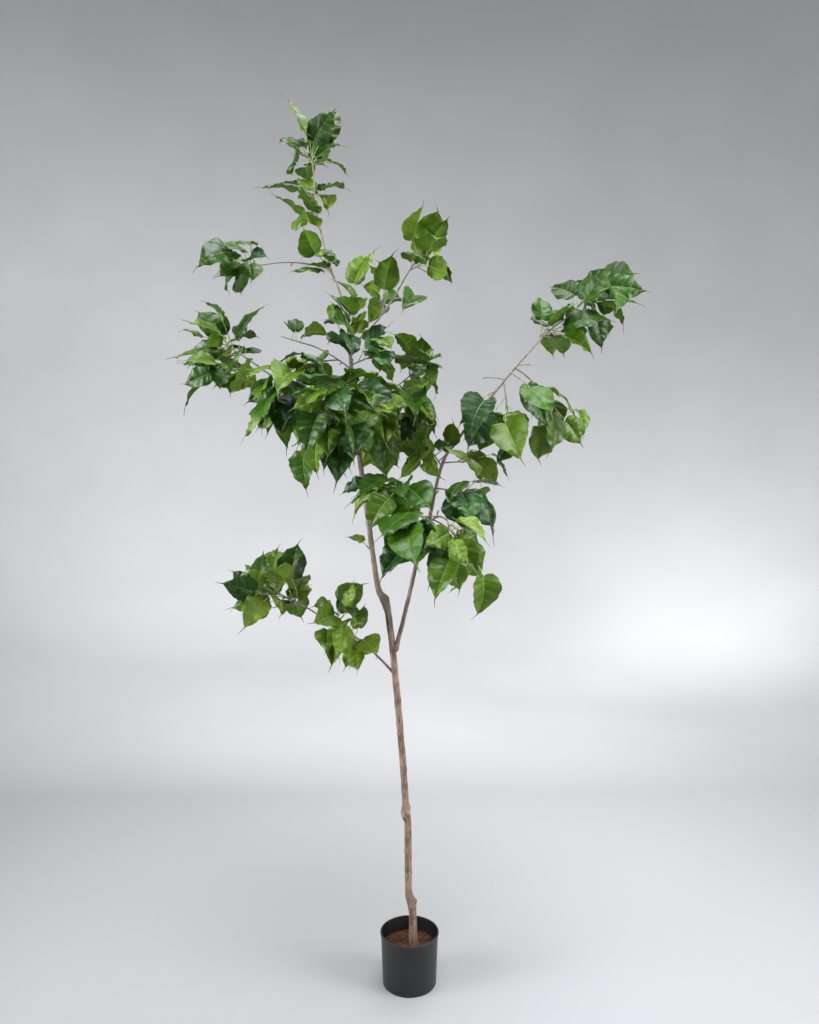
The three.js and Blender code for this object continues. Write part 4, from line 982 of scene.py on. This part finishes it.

# Loose coconut fibre: short curly brown strands, matt, with painted shade for the dark gaps between them.
coverLook = dict(colours=["#1e100b", "#4a2c1f", "#74492f"], roughness=0.95, ior=1.5, strand=0.9, clump=11,
                 depth=0.8)
fibreLook = dict(colours=["#321b12", "#5a3624", "#8a5c3e"], roughness=0.85, ior=1.5, strand=1.5, clump=11,
                 depth=0.8)


def fibreMaterial(name, look):
    material, tree, shader = startMaterial(name, look)
    place = addNode(tree, "ShaderNodeTexCoord")
    strands = addNode(tree, "ShaderNodeTexNoise",
                      values={"Scale": 1 / (look["strand"] * millimetre), "Detail": 3.0, "Distortion": 2.0},
                      links={"Vector": (place, "Object")})
    clumps = addNode(tree, "ShaderNodeTexNoise",
                     values={"Scale": 1 / (look["clump"] * millimetre), "Detail": 2.0},
                     links={"Vector": (place, "Object")})
    both = addNode(tree, "ShaderNodeMath", operation="ADD", links={0: (strands, "Fac"), 1: (clumps, "Fac")})
    halved = addNode(tree, "ShaderNodeMath", operation="MULTIPLY", values={1: 0.5},
                     links={0: (both, "Value")})
    # on the packed cover the darkest stop is painted shade in the gaps between strands and clumps; otherwise
    # the stops are the fibre's own browns
    tone = addNode(tree, "ShaderNodeValToRGB", links={"Fac": (halved, "Value")},
                   stops=list(zip((0.36, 0.5, 0.66), look["colours"])))
    tree.links.new(tone.outputs["Color"], shader.inputs["Base Color"])
    bump = addNode(tree, "ShaderNodeBump", values={"Strength": 0.9, "Distance": look["depth"] * millimetre},
                   links={"Height": (strands, "Fac")})
    tree.links.new(bump.outputs["Normal"], shader.inputs["Normal"])
    return material


# lumps are given as span and rise; mound is how high the cover is heaped round the trunk, over moundReach
coverShape = dict(rings=46, sides=120, gap=0.4, lumps=[(17, 3.0), (7, 1.9), (2.5, 0.8)], wallDrop=2.2,
                  mound=4.0, moundReach=22)
strandShape = dict(count=2600, seed=41, length=(8, 24), width=(0.35, 0.9), steps=5, curl=3.2, tilt=0.25,
                   lie=0.2, lift=2.2, startGap=5, endGap=1.5)  # both gaps are to the pot's wall
coverLow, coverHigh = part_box("soil_cover")
coverTop = coverHigh[2] / millimetre
coverFoot = coverLow[2] / millimetre
trunkFoot = limbs["trunk"]["pointAt"](0)


# how high the loose cover lies: lumps, lower by the wall and heaped a little round the trunk
def coverHeight(x, y):
    out = math.hypot(x, y) / wallRadius(coverTop)
    lumps = sum(rise * noise.noise(Vector((x / span, y / span, span))) for span, rise in coverShape["lumps"])
    near = math.hypot(x - trunkFoot[0], y - trunkFoot[1]) / coverShape["moundReach"]
    return coverTop + lumps - coverShape["wallDrop"] * out ** 4 + coverShape["mound"] * math.exp(-near ** 2)


coverHeap = newHeap()
coverRadius = wallRadius(coverTop) - potSize["wall"] - coverShape["gap"]
rows = []
for i in range(coverShape["rings"]):
    radius = coverRadius * (1 - i / (coverShape["rings"] - 1)) + axisGap
    for k in range(coverShape["sides"]):
        turn = 2 * math.pi * k / coverShape["sides"]
        x, y = radius * math.cos(turn), radius * math.sin(turn)
        rows.append((x, y, coverHeight(x, y)))
edge = [(x, y, coverFoot) for x, y, height in rows[:coverShape["sides"]]]
coverPoints = np.array(edge + rows)
coverFaces = gridFaces(coverShape["rings"] + 1, coverShape["sides"], closed=True)
addTo(coverHeap, coverPoints, coverFaces, coverPoints)
makePiece("fibreCover", coverHeap, fibreMaterial("packedCoirFibre", coverLook), "cover", ["soil_cover"])

strandHeap = newHeap()
strandDice = makeDice(strandShape["seed"])
for n in range(strandShape["count"]):
    radius = (coverRadius - strandShape["startGap"]) * math.sqrt(strandDice())
    turn = strandDice() * 2 * math.pi
    x, y = radius * math.cos(turn), radius * math.sin(turn)
    heading = strandDice() * 2 * math.pi
    curl = (strandDice() - 0.5) * strandShape["curl"]
    length = between(strandDice, strandShape["length"])
    width = between(strandDice, strandShape["width"])
    lift = strandDice() * strandShape["lift"]
    steps = strandShape["steps"]
    line = []
    for step in range(steps + 1):
        height = coverHeight(x, y) + strandShape["lie"] + lift * math.sin(math.pi * step / steps)
        across = np.array((-math.sin(heading), math.cos(heading), strandShape["tilt"])) * width / 2
        line += [np.array((x, y, height)) - across, np.array((x, y, height)) + across]
        x, y = x + math.cos(heading) * length / steps, y + math.sin(heading) * length / steps
        heading += curl / steps
        if math.hypot(x, y) > coverRadius - strandShape["endGap"]:
            break
    if len(line) >= 4:
        line = np.array(line)
        addTo(strandHeap, line, gridFaces(len(line) // 2, 2)[:, ::-1], line)
makePiece("looseFibres", strandHeap, fibreMaterial("looseCoirStrands", fibreLook), "cover")
print("pot filled and covered")


# finer twigs between the others, each with one smaller leaf, inside the room of their own mass
finer = dict(
    share=0.4, fullShare=0.8, firstNumber=60, along=(0.25, 0.95), lean=(35, 75), reach=(22, 62),
    bladeShare=0.86, tries=14, clearance=dict(blade=5, rod=2.5, stalk=3),
    full=["tuft_stem", "spray_stem_right", "spray_left_in", "spray_front", "spray_front_low",
          "spray_right_mid", "spray_left_under", "spray_inner_right", "spray_right_under", "spray_back",
          "spray_back_left", "spray_back_low", "spray_right_left"],
    none=["tuft_third", "tuft_fourth", "spray_back_high", "spray_right_out", "spray_left_twig",
          "spray_hanging", "leaf_on_trunk", "spray_mid_left", "spray_mid_centre", "spray_mid_right",
          "spray_right_foot"],
)


def growFiner(mass, branches):
    smaller = dict(mass, blade=mass["blade"] * finer["bladeShare"])
    twigs, leaves = [], []
    share = finer["fullShare"] if mass["name"] in finer["full"] else finer["share"]
    for n in range(round(mass["leaves"] * share)):
        dice = makeDice(mass["seed"] * habit["leavesPerSeed"] + finer["firstNumber"] + n)
        for _ in range(finer["tries"]):
            branch = branches[int(dice() * len(branches))]
            start = bowedPoint(branch, between(dice, finer["along"]))
            along = unit(branch["end"] - branch["start"])
            across = turned(sideOf(along), along, dice() * 360)
            way = unit(leaned(along, across, between(dice, finer["lean"])))
            end = start + way * between(dice, finer["reach"])
            if rodBlocked(start, end, mass["name"]):
                continue
            twig = dict(start=start, end=end, bow=0)
            placed = placeLeaf(smaller, twig, habit["lastLeaf"], dice() * 360, True, dice)
            if placed:
                addRods(mass["name"], lambda t: bowedPoint(twig, t), lambda t: twigSize["stalk"], 1)
                twigs.append(twig)
                leaves += placed
                break
    return twigs, leaves


clearance.update(finer["clearance"])
habit["tries"] = finer["tries"]
for n, mass in enumerate(masses):
    if mass["name"] in finer["none"]:
        continue
    branches, leaves = foliage[n]
    twigs, smallLeaves = growFiner(mass, branches)
    foliage[n] = (branches + twigs, leaves + smallLeaves)
print(f"{sum(len(leaves) for branches, leaves in foliage)} leaves with those on finer twigs")


# short bare twigs on the limbs, where leaves have dropped, and one longer one
bareTwigs = dict(perMetre=5, along=(0.12, 0.9), wayStep=0.02, lean=(45, 80), reach=(12, 34), seed=77,
                 longOne=dict(limb="right_leader", at=0.764, heading=184, climb=4, reach=62, bow=3))


def growBareTwigs():
    dice = makeDice(bareTwigs["seed"])
    twigs = []
    for limb in limbs.values():
        if limb["name"] == "trunk":
            continue
        for _ in range(round(limb["length"] / 1000 * bareTwigs["perMetre"])):
            share = between(dice, bareTwigs["along"])
            start = limb["pointAt"](share)
            along = unit(limb["pointAt"](share + bareTwigs["wayStep"]) - start)
            across = turned(sideOf(along), along, dice() * 360)
            way = unit(leaned(along, across, between(dice, bareTwigs["lean"])))
            end = start + way * (limb["radiusAt"](share) + between(dice, bareTwigs["reach"]))
            if not rodBlocked(start, end, limb["name"]):
                twigs.append(dict(start=start, end=end, bow=0))
    one = bareTwigs["longOne"]
    start = limbs[one["limb"]]["pointAt"](one["at"])
    reach = aim(one["heading"], one["climb"]) * one["reach"]
    twigs.append(dict(start=start, end=start + reach, bow=one["bow"]))
    return twigs


stubs = growBareTwigs()
print(f"{len(stubs)} bare twigs set on the limbs")


# A leaf's shape in shares of its length: the right half of its outline, where each part's rib leaves the
# midrib, and how its pleats, waves and crumples lie. thickness, quilt and midrib depths are in millimetres.
leafShape = dict(
    outline=[(0, 0), (-0.04, 0.08), (-0.055, 0.18), (-0.01, 0.29), (0.10, 0.385), (0.26, 0.435), (0.44, 0.43),
             (0.62, 0.365), (0.78, 0.255), (0.91, 0.125), (1.01, 0.026)],
    ribFeet=[0, 0, 0.005, 0.02, 0.06, 0.14, 0.27, 0.45, 0.66, 0.84, 0.97],
    firstRib=0.06, sideVeins=8, ribsPerVein=4, ribCurve=1.4, narrowing=(0.86, 1.04),
    columns=[0, 0.03, 0.15, 0.36, 0.60, 0.84, 1.0],
    tail=[(1.05, 0.018), (1.12, 0.012), (1.20, 0.008), (1.27, 0.002)], tailVeinStep=0.4,
    thickness=0.5, thinEdge=8, quilt=1.7, quiltEdge=0.8,
    midribDepth=1.0, midribWidth=0.1, midribFade=0.75, midribOnTop=0.25,
    scallop=0.035, scallopMiddle=0.6, scallopEdge=4,
    wave=(0.016, 0.046), waves=(2.2, 4.2), waveEdge=2.2, waveEnds=0.5,
    smallWave=0.4, smallWavePace=2.3, smallWavePhase=3, ripple=0.018, ripplePace=2.7,
    twist=(-0.05, 0.05), curl=(-0.02, 0.16), curlEdge=2, curlAtEnds=0.4,
    crumple=0.011, crumples=4, crumpleSpan=(0.22, 0.5), crumpleEdge=0.7,
)

outlineAt = smoothLine(leafShape["outline"])
ribFootAt = smoothLine([(foot, 0) for foot in leafShape["ribFeet"]])
leafColumns = np.array([-share for share in leafShape["columns"][:0:-1]] + leafShape["columns"])
leafRows = leafShape["sideVeins"] * leafShape["ribsPerVein"] + 1


# the leaf laid flat: a row of points along each rib, and the side vein's number of each row
def leafGrid():
    grid, marks = [], []
    for row in range(leafRows):
        t = leafShape["firstRib"] + (1 - leafShape["firstRib"]) * row / (leafRows - 1)
        along, out = outlineAt(t)
        foot = ribFootAt(t)[0] if row else 0.0
        u = np.abs(leafColumns)
        ribLine = foot + (along - foot) * u ** leafShape["ribCurve"]
        grid.append(np.stack([ribLine, out * leafColumns], axis=-1))
        marks.append(row / leafShape["ribsPerVein"])
    for number, (along, out) in enumerate(leafShape["tail"]):
        grid.append(np.stack([np.full(len(leafColumns), along), out * leafColumns], axis=-1))
        marks.append(leafShape["sideVeins"] + leafShape["tailVeinStep"] * (number + 1))
    return np.array(grid), np.array(marks)


plainGrid, veinMarks = leafGrid()
leafQuads = gridFaces(len(plainGrid), len(leafColumns))
leafFaces = np.vstack([leafQuads[:, [0, 1, 2]], leafQuads[:, [0, 2, 3]]])  # cut alike on both sheets


# the top and the underside of one leaf: both carry its waves, and they meet at the margin
def leafSheets(leaf):
    dice, look, circle = leaf["dice"], leafShape, 2 * math.pi
    u, hand = np.abs(leafColumns)[None], np.sign(leafColumns)[None]
    rows = np.minimum(np.arange(len(plainGrid)) / (leafRows - 1), 1.0)[:, None]
    middle = np.sin(math.pi * rows)  # 0 at the leaf's foot and tip
    body = (np.arange(len(plainGrid)) < leafRows)[:, None]
    waves = np.zeros(plainGrid.shape[:2])
    ripple = np.ones(plainGrid.shape[:2])
    for side in (-1, 1):
        rise, count, phase = between(dice, look["wave"]), between(dice, look["waves"]), dice() * circle
        wave = np.sin(circle * count * rows + phase)
        wave += look["smallWave"] * np.sin(circle * count * look["smallWavePace"] * rows
                                           + phase * look["smallWavePhase"])
        edge = u ** look["waveEdge"] * middle ** look["waveEnds"]
        waves += np.where(hand == side, rise * wave * edge, 0)
        small = np.sin(circle * (count * look["ripplePace"]) * rows + phase)
        ripple += np.where(hand == side, look["ripple"] * small, 0)
    twist = between(dice, look["twist"]) * hand * u * middle * 2
    bulge = np.abs(np.sin(math.pi * veinMarks))[:, None]
    quilt = look["quilt"] * bulge * np.sin(math.pi * u) ** look["quiltEdge"]
    scallops = 1 + look["scallop"] * (bulge - look["scallopMiddle"]) * u ** look["scallopEdge"]
    ripple = ripple * between(dice, look["narrowing"]) * scallops
    curlEnds = look["curlAtEnds"] + (1 - look["curlAtEnds"]) * middle
    curl = -between(dice, look["curl"]) * u ** look["curlEdge"] * curlEnds
    crumple = np.zeros(plainGrid.shape[:2])
    for _ in range(look["crumples"]):
        heading, span, phase = dice() * circle, between(dice, look["crumpleSpan"]), dice() * circle
        across = plainGrid[..., 0] * math.cos(heading) + plainGrid[..., 1] * math.sin(heading)
        crumple += look["crumple"] * np.sin(circle * across / span + phase) * u ** look["crumpleEdge"]
    lift = np.where(body, (waves + twist + curl + crumple) * leaf["length"] + quilt, 0)
    grid = plainGrid * np.stack([np.ones_like(ripple), np.where(body, ripple, 1)], axis=-1)
    half = look["thickness"] / 2 * (1 - u ** look["thinEdge"])
    rib = look["midribDepth"] * np.maximum(0, 1 - u / look["midribWidth"]) * (1 - look["midribFade"] * rows)
    top = bladePoints(leaf, grid, lift + half - rib * look["midribOnTop"])
    under = bladePoints(leaf, grid, lift - half - rib)
    chance = dice()
    places = np.stack([np.broadcast_to(leafColumns[None], waves.shape),
                       np.broadcast_to(veinMarks[:, None], waves.shape),
                       np.full(waves.shape, chance)], axis=-1).reshape(-1, 3)
    return top.reshape(-1, 3), under.reshape(-1, 3), places


# Printed and coated polyester leaf: a waxy sheen over pale pressed veins and a fine woven net.
leafTops = {
    "deep": dict(colours=["#153503", "#204506", "#31580b"], vein="#7a9440", slot="foliage_deep"),
    "mid": dict(colours=["#355308", "#45640e", "#577619"], vein="#9aad58", slot="foliage_green"),
    "bluish": dict(colours=["#113410", "#1b4214", "#27531d"], vein="#78965c", slot="foliage_dark"),
    "fresh": dict(colours=["#46610a", "#557212", "#66831f"], vein="#abb964", slot="foliage_light"),
}
leafSheen = dict(roughness=0.34, ior=1.5, gloss=0.3, veinsRaised=False)
# The back of the same cloth: uncoated, paler and matt, with raised veins.
leafBacks = {
    "palm": dict(colours=["#476a14", "#567a1e", "#688c2c"], vein="#99ad5c", slot="foliage_green"),
    "sage": dict(colours=["#3c6422", "#4a722c", "#5a823a"], vein="#8ea768", slot="foliage_dark"),
    "lime": dict(colours=["#587818", "#688822", "#7a9834"], vein="#afbc6c", slot="foliage_light"),
}
leafMatt = dict(roughness=0.62, ior=1.45, gloss=0.25, veinsRaised=True)
# What both sides share. Patches, the net's cells and the relief are in millimetres; the net is drawn coarser
# than the threads of the cloth, so that it shows. A side vein's width is in shares of the gap to the next
# one, and it fades from the midrib to the margin; the midrib's is in shares of the leaf's half width.
# leafDrift is how much darker or paler a whole leaf may be. The drip tip turns to the colour of tail.
leafPattern = dict(patch=35, net=2.6, netWidth=0.12, netShare=0.10, relief=0.5, roughnessDrift=(-0.08, 0.1),
                   sideVein=(0.012, 0.06), sideVeinShare=(0.55, 0.15), midrib=(0.012, 0.035), veinShare=0.62,
                   leafDrift=(-0.22, 0.23), tail="#5f5a33", tailFrom=0.1, tailFull=0.9)


# place holds the share out from the midrib, the side vein's number, and a chance that is the leaf's own
def leafMaterial(name, tint, finish):
    pattern = leafPattern
    material, tree, shader = startMaterial(name, dict(colours=tint["colours"], **finish))
    shader.inputs["Specular IOR Level"].default_value = finish["gloss"]
    place = addNode(tree, "ShaderNodeAttribute", attribute_name="place")
    parts = addNode(tree, "ShaderNodeSeparateXYZ", links={"Vector": (place, "Vector")})
    where = addNode(tree, "ShaderNodeTexCoord")
    patches = addNode(tree, "ShaderNodeTexNoise",
                      values={"Scale": 1 / (pattern["patch"] * millimetre), "Detail": 3.0},
                      links={"Vector": (where, "Object")})
    paler, darker = pattern["leafDrift"][1], pattern["leafDrift"][0]
    shade = addNode(tree, "ShaderNodeMath", operation="MULTIPLY_ADD", values={1: paler - darker, 2: darker},
                    links={0: (parts, "Z")})
    mixed = addNode(tree, "ShaderNodeMath", operation="ADD",
                    links={0: (patches, "Fac"), 1: (shade, "Value")})
    tone = addNode(tree, "ShaderNodeValToRGB", links={"Fac": (mixed, "Value")},
                   stops=list(zip((0.25, 0.5, 0.75), tint["colours"])))
    fromVein = addNode(tree, "ShaderNodeMath", operation="PINGPONG", values={1: 0.5}, links={0: (parts, "Y")})
    sideVeins = addNode(tree, "ShaderNodeMapRange", interpolation_type="SMOOTHSTEP",
                        values={"From Min": pattern["sideVein"][0], "From Max": pattern["sideVein"][1],
                                "To Min": 1.0, "To Max": 0.0},
                        links={"Value": (fromVein, "Value")})
    out = addNode(tree, "ShaderNodeMath", operation="ABSOLUTE", links={0: (parts, "X")})
    fading = addNode(tree, "ShaderNodeMapRange", links={"Value": (out, "Value")},
                     values={"From Min": 0.2, "From Max": 1.0, "To Min": pattern["sideVeinShare"][0],
                             "To Max": pattern["sideVeinShare"][1]})
    sideFaded = addNode(tree, "ShaderNodeMath", operation="MULTIPLY",
                        links={0: (sideVeins, "Result"), 1: (fading, "Result")})
    midrib = addNode(tree, "ShaderNodeMapRange", interpolation_type="SMOOTHSTEP",
                     values={"From Min": pattern["midrib"][0], "From Max": pattern["midrib"][1],
                             "To Min": 1.0, "To Max": 0.0},
                     links={"Value": (out, "Value")})
    veins = addNode(tree, "ShaderNodeMath", operation="MAXIMUM",
                    links={0: (sideFaded, "Value"), 1: (midrib, "Result")})
    net = addNode(tree, "ShaderNodeTexVoronoi", feature="DISTANCE_TO_EDGE",
                  values={"Scale": 1 / (pattern["net"] * millimetre)}, links={"Vector": (where, "Object")})
    netLines = addNode(tree, "ShaderNodeMapRange", links={"Value": (net, "Distance")},
                       values={"From Max": pattern["netWidth"], "To Min": 1.0, "To Max": 0.0})
    drawn = addNode(tree, "ShaderNodeMath", operation="MULTIPLY_ADD", values={1: pattern["netShare"]},
                    links={0: (netLines, "Result"), 2: (veins, "Value")})
    veinShare = addNode(tree, "ShaderNodeMath", operation="MULTIPLY", values={1: pattern["veinShare"]},
                        use_clamp=True, links={0: (drawn, "Value")})
    veined = addNode(tree, "ShaderNodeMix", data_type="RGBA", values={7: linearColour(tint["vein"])},
                     links={0: (veinShare, "Value"), 6: (tone, "Color")})
    tail = addNode(tree, "ShaderNodeMapRange", links={"Value": (parts, "Y")},
                   values={"From Min": leafShape["sideVeins"] + pattern["tailFrom"],
                           "From Max": leafShape["sideVeins"] + pattern["tailFull"]})
    tailed = addNode(tree, "ShaderNodeMix", data_type="RGBA", values={7: linearColour(pattern["tail"])},
                     links={0: (tail, "Result"), 6: (veined, 2)})
    tree.links.new(tailed.outputs[2], shader.inputs["Base Color"])
    rough = addNode(tree, "ShaderNodeMapRange", links={"Value": (patches, "Fac")},
                    values={"From Min": 0.3, "From Max": 0.7,
                            "To Min": finish["roughness"] + pattern["roughnessDrift"][0],
                            "To Max": finish["roughness"] + pattern["roughnessDrift"][1]})
    tree.links.new(rough.outputs["Result"], shader.inputs["Roughness"])
    bump = addNode(tree, "ShaderNodeBump", invert=not finish["veinsRaised"],
                   values={"Strength": 0.7, "Distance": pattern["relief"] * millimetre},
                   links={"Height": (drawn, "Value")})
    tree.links.new(bump.outputs["Normal"], shader.inputs["Normal"])
    return material


# how often each tint turns up in a spray
plainMix = dict(deep=0.34, mid=0.38, bluish=0.18, fresh=0.10)
tintMixes = {
    "tuft_top": dict(deep=0.55, mid=0.40, fresh=0.05),
    "tuft_second": dict(deep=0.70, mid=0.30),
    "tuft_third": dict(deep=0.70, mid=0.30),
    "tuft_fourth": dict(deep=0.60, mid=0.40),
    "spray_left_high": dict(deep=0.50, mid=0.10, bluish=0.40),
    "spray_right_top": dict(deep=0.45, mid=0.50, fresh=0.05),
    "spray_left_up": dict(deep=0.60, mid=0.35, fresh=0.05),
    "spray_left_out": dict(deep=0.60, mid=0.30, fresh=0.10),
    "spray_right_fore": dict(deep=0.25, mid=0.20, bluish=0.50, fresh=0.05),
    "spray_right_left": dict(deep=0.25, mid=0.30, bluish=0.40, fresh=0.05),
    "spray_right_drop": dict(deep=0.25, mid=0.35, bluish=0.10, fresh=0.30),
    "spray_right_foot": dict(deep=0.10, mid=0.45, fresh=0.45),
    "spray_low_far": dict(deep=0.20, mid=0.60, fresh=0.20),
    "spray_low_left": dict(deep=0.10, mid=0.50, fresh=0.40),
    "spray_low_right": dict(mid=0.40, fresh=0.60),
    "spray_high_low": dict(deep=0.60, mid=0.25, bluish=0.15),
    "spray_high_end": dict(deep=0.70, mid=0.15, bluish=0.15),
    "spray_mid_left": dict(deep=0.35, mid=0.25, bluish=0.30, fresh=0.10),
    "spray_mid_right": dict(deep=0.60, mid=0.30, bluish=0.10),
    "spray_mid_end": dict(deep=0.25, mid=0.65, bluish=0.10),
}
limeShare = 0.25  # how many leaves of the other tints have a lime back too


def drawTint(mix, dice):
    mark = dice() * sum(mix.values())
    for tint, share in mix.items():
        mark -= share
        if mark <= 0:
            return tint
    return tint


topHeaps = {tint: newHeap() for tint in leafTops}
backHeaps = {tint: newHeap() for tint in leafBacks}
massOfTint = {tint: set() for tint in leafTops}
for mass, (branches, leaves) in zip(masses, foliage):
    mix = tintMixes.get(mass["name"], plainMix)
    for leaf in leaves:
        tint = drawTint(mix, leaf["dice"])
        plainBack = "sage" if tint == "bluish" else "palm"
        back = "lime" if tint == "fresh" or leaf["dice"]() < limeShare else plainBack
        top, under, places = leafSheets(leaf)
        addTo(topHeaps[tint], top, leafFaces[:, ::-1], places)
        addTo(backHeaps[back], under, leafFaces, places)
        massOfTint[tint].add(mass["name"])
for tint, look in leafTops.items():
    material = leafMaterial(f"coatedPolyesterLeaf_{tint}", look, leafSheen)
    makePiece(f"leafTops_{tint}", topHeaps[tint], material, look["slot"], sorted(massOfTint[tint]))
for tint, look in leafBacks.items():
    material = leafMaterial(f"uncoatedLeafBack_{tint}", look, leafMatt)
    makePiece(f"leafBacks_{tint}", backHeaps[tint], material, look["slot"])
print("leaves unfolded")


# twigs and leaf stalks: plastic-covered wire, thin and slightly bowed, with nodes along it
twigShape = dict(foot=2.3, tip=1.5, forkFoot=1.7, forkTip=1.2, sides=9, ringGap=6, leastRings=6, endRise=2.0,
                 nodeRise=0.5, nodeGap=24, nodeSpread=3, sway=0.02, swayClimb=20, swayTurn=40)
stalkShape = dict(foot=1.5, radius=1.05, footFade=6, sides=7, rings=9, bow=0.05, tuckIn=0.04, tuckUnder=0.8)
stubShape = dict(foot=1.6, tip=1.1, bud=0.9, budLength=5, ringGap=3, leastRings=8)
# Extruded polyethylene over wire: smooth, waxy, pale green with a duller foot.
stalkLook = dict(colours=["#6d7f3c", "#8fa255", "#a9b770"], roughness=0.5, ior=1.51, streak=9.0, relief=0.15)

stalkPlastic, stalkTree, stalkShader = startMaterial("extrudedPolyethyleneStalk", stalkLook)
stalkPlace = addNode(stalkTree, "ShaderNodeAttribute", attribute_name="place")
stalkStreaks = addNode(stalkTree, "ShaderNodeTexNoise", links={"Vector": (stalkPlace, "Vector")},
                       values={"Scale": 1 / stalkLook["streak"], "Detail": 2.0})
stalkTone = addNode(stalkTree, "ShaderNodeValToRGB", links={"Fac": (stalkStreaks, "Fac")},
                    stops=list(zip((0.3, 0.5, 0.7), stalkLook["colours"])))
stalkTree.links.new(stalkTone.outputs["Color"], stalkShader.inputs["Base Color"])
stalkBump = addNode(stalkTree, "ShaderNodeBump", links={"Height": (stalkStreaks, "Fac")},
                    values={"Strength": 0.5, "Distance": stalkLook["relief"] * millimetre})
stalkTree.links.new(stalkBump.outputs["Normal"], stalkShader.inputs["Normal"])

twigHeap, stalkHeap = newHeap(), newHeap()


def addTwig(centres, radii):
    sides = twigShape["sides"]
    points, faces, places = tube(centres, radii, sides)
    addTo(twigHeap, points, faces, places)
    way = unit(centres[-1] - centres[-2])
    closeEnd(twigHeap, points[-sides:], places[-sides:], way, twigShape["endRise"])


for mass, (branches, leaves) in zip(masses, foliage):
    for b, branch in enumerate(branches):
        length = float(np.linalg.norm(branch["end"] - branch["start"]))
        foot, tip = twigShape["forkFoot"], twigShape["forkTip"]
        if b == 0:
            foot, tip = twigShape["foot"], twigShape["tip"]
        shares = np.linspace(0, 1, max(twigShape["leastRings"], math.ceil(length / twigShape["ringGap"])) + 1)
        heading = b * habit["goldenAngle"] + mass["seed"] * twigShape["swayTurn"]
        sway = aim(heading, twigShape["swayClimb"]) * length * twigShape["sway"]
        centres = [bowedPoint(branch, t) + sway * math.sin(math.pi * 2 * t) * (1 - t) for t in shares]
        radii = []
        for t in shares:
            fromNode = t * length % twigShape["nodeGap"] / twigShape["nodeSpread"]
            radii.append(foot + (tip - foot) * t + twigShape["nodeRise"] * math.exp(-fromNode ** 2))
        addTwig(centres, radii)
    for leaf in leaves:
        foot, base = leaf["foot"], leaf["base"]
        length = float(np.linalg.norm(base - foot))
        tuck = leaf["axis"] * length * stalkShape["tuckIn"] - leaf["normal"] * stalkShape["tuckUnder"]
        line, radii = [], []
        for t in np.linspace(0, 1, stalkShape["rings"]):
            line.append(foot + (base + tuck * t ** 3 - foot) * t
                        + upward * (stalkShape["bow"] * length * 4 * t * (1 - t)))
            swelling = (stalkShape["foot"] - stalkShape["radius"]) * (1 - t) ** stalkShape["footFade"]
            radii.append(stalkShape["radius"] + swelling)
        points, faces, places = tube(line, radii, stalkShape["sides"])
        addTo(stalkHeap, points, faces, places)
for stub in stubs:
    length = float(np.linalg.norm(stub["end"] - stub["start"]))
    shares = np.linspace(0, 1, max(stubShape["leastRings"], math.ceil(length / stubShape["ringGap"])) + 1)
    centres = [bowedPoint(stub, t) for t in shares]
    radii = []
    for t in shares:
        fromBud = (1 - t) * length / stubShape["budLength"] - 1
        taper = stubShape["foot"] + (stubShape["tip"] - stubShape["foot"]) * t
        radii.append(taper + stubShape["bud"] * math.exp(-fromBud ** 2))
    addTwig(centres, radii)
twigBark = barkMaterial("twigBark", twigLook)
makePiece("leafTwigs", twigHeap, twigBark, "bark", [mass["name"] for mass in masses])
makePiece("leafStalks", stalkHeap, stalkPlastic, "foliage_light")
print("twigs and stalks drawn")
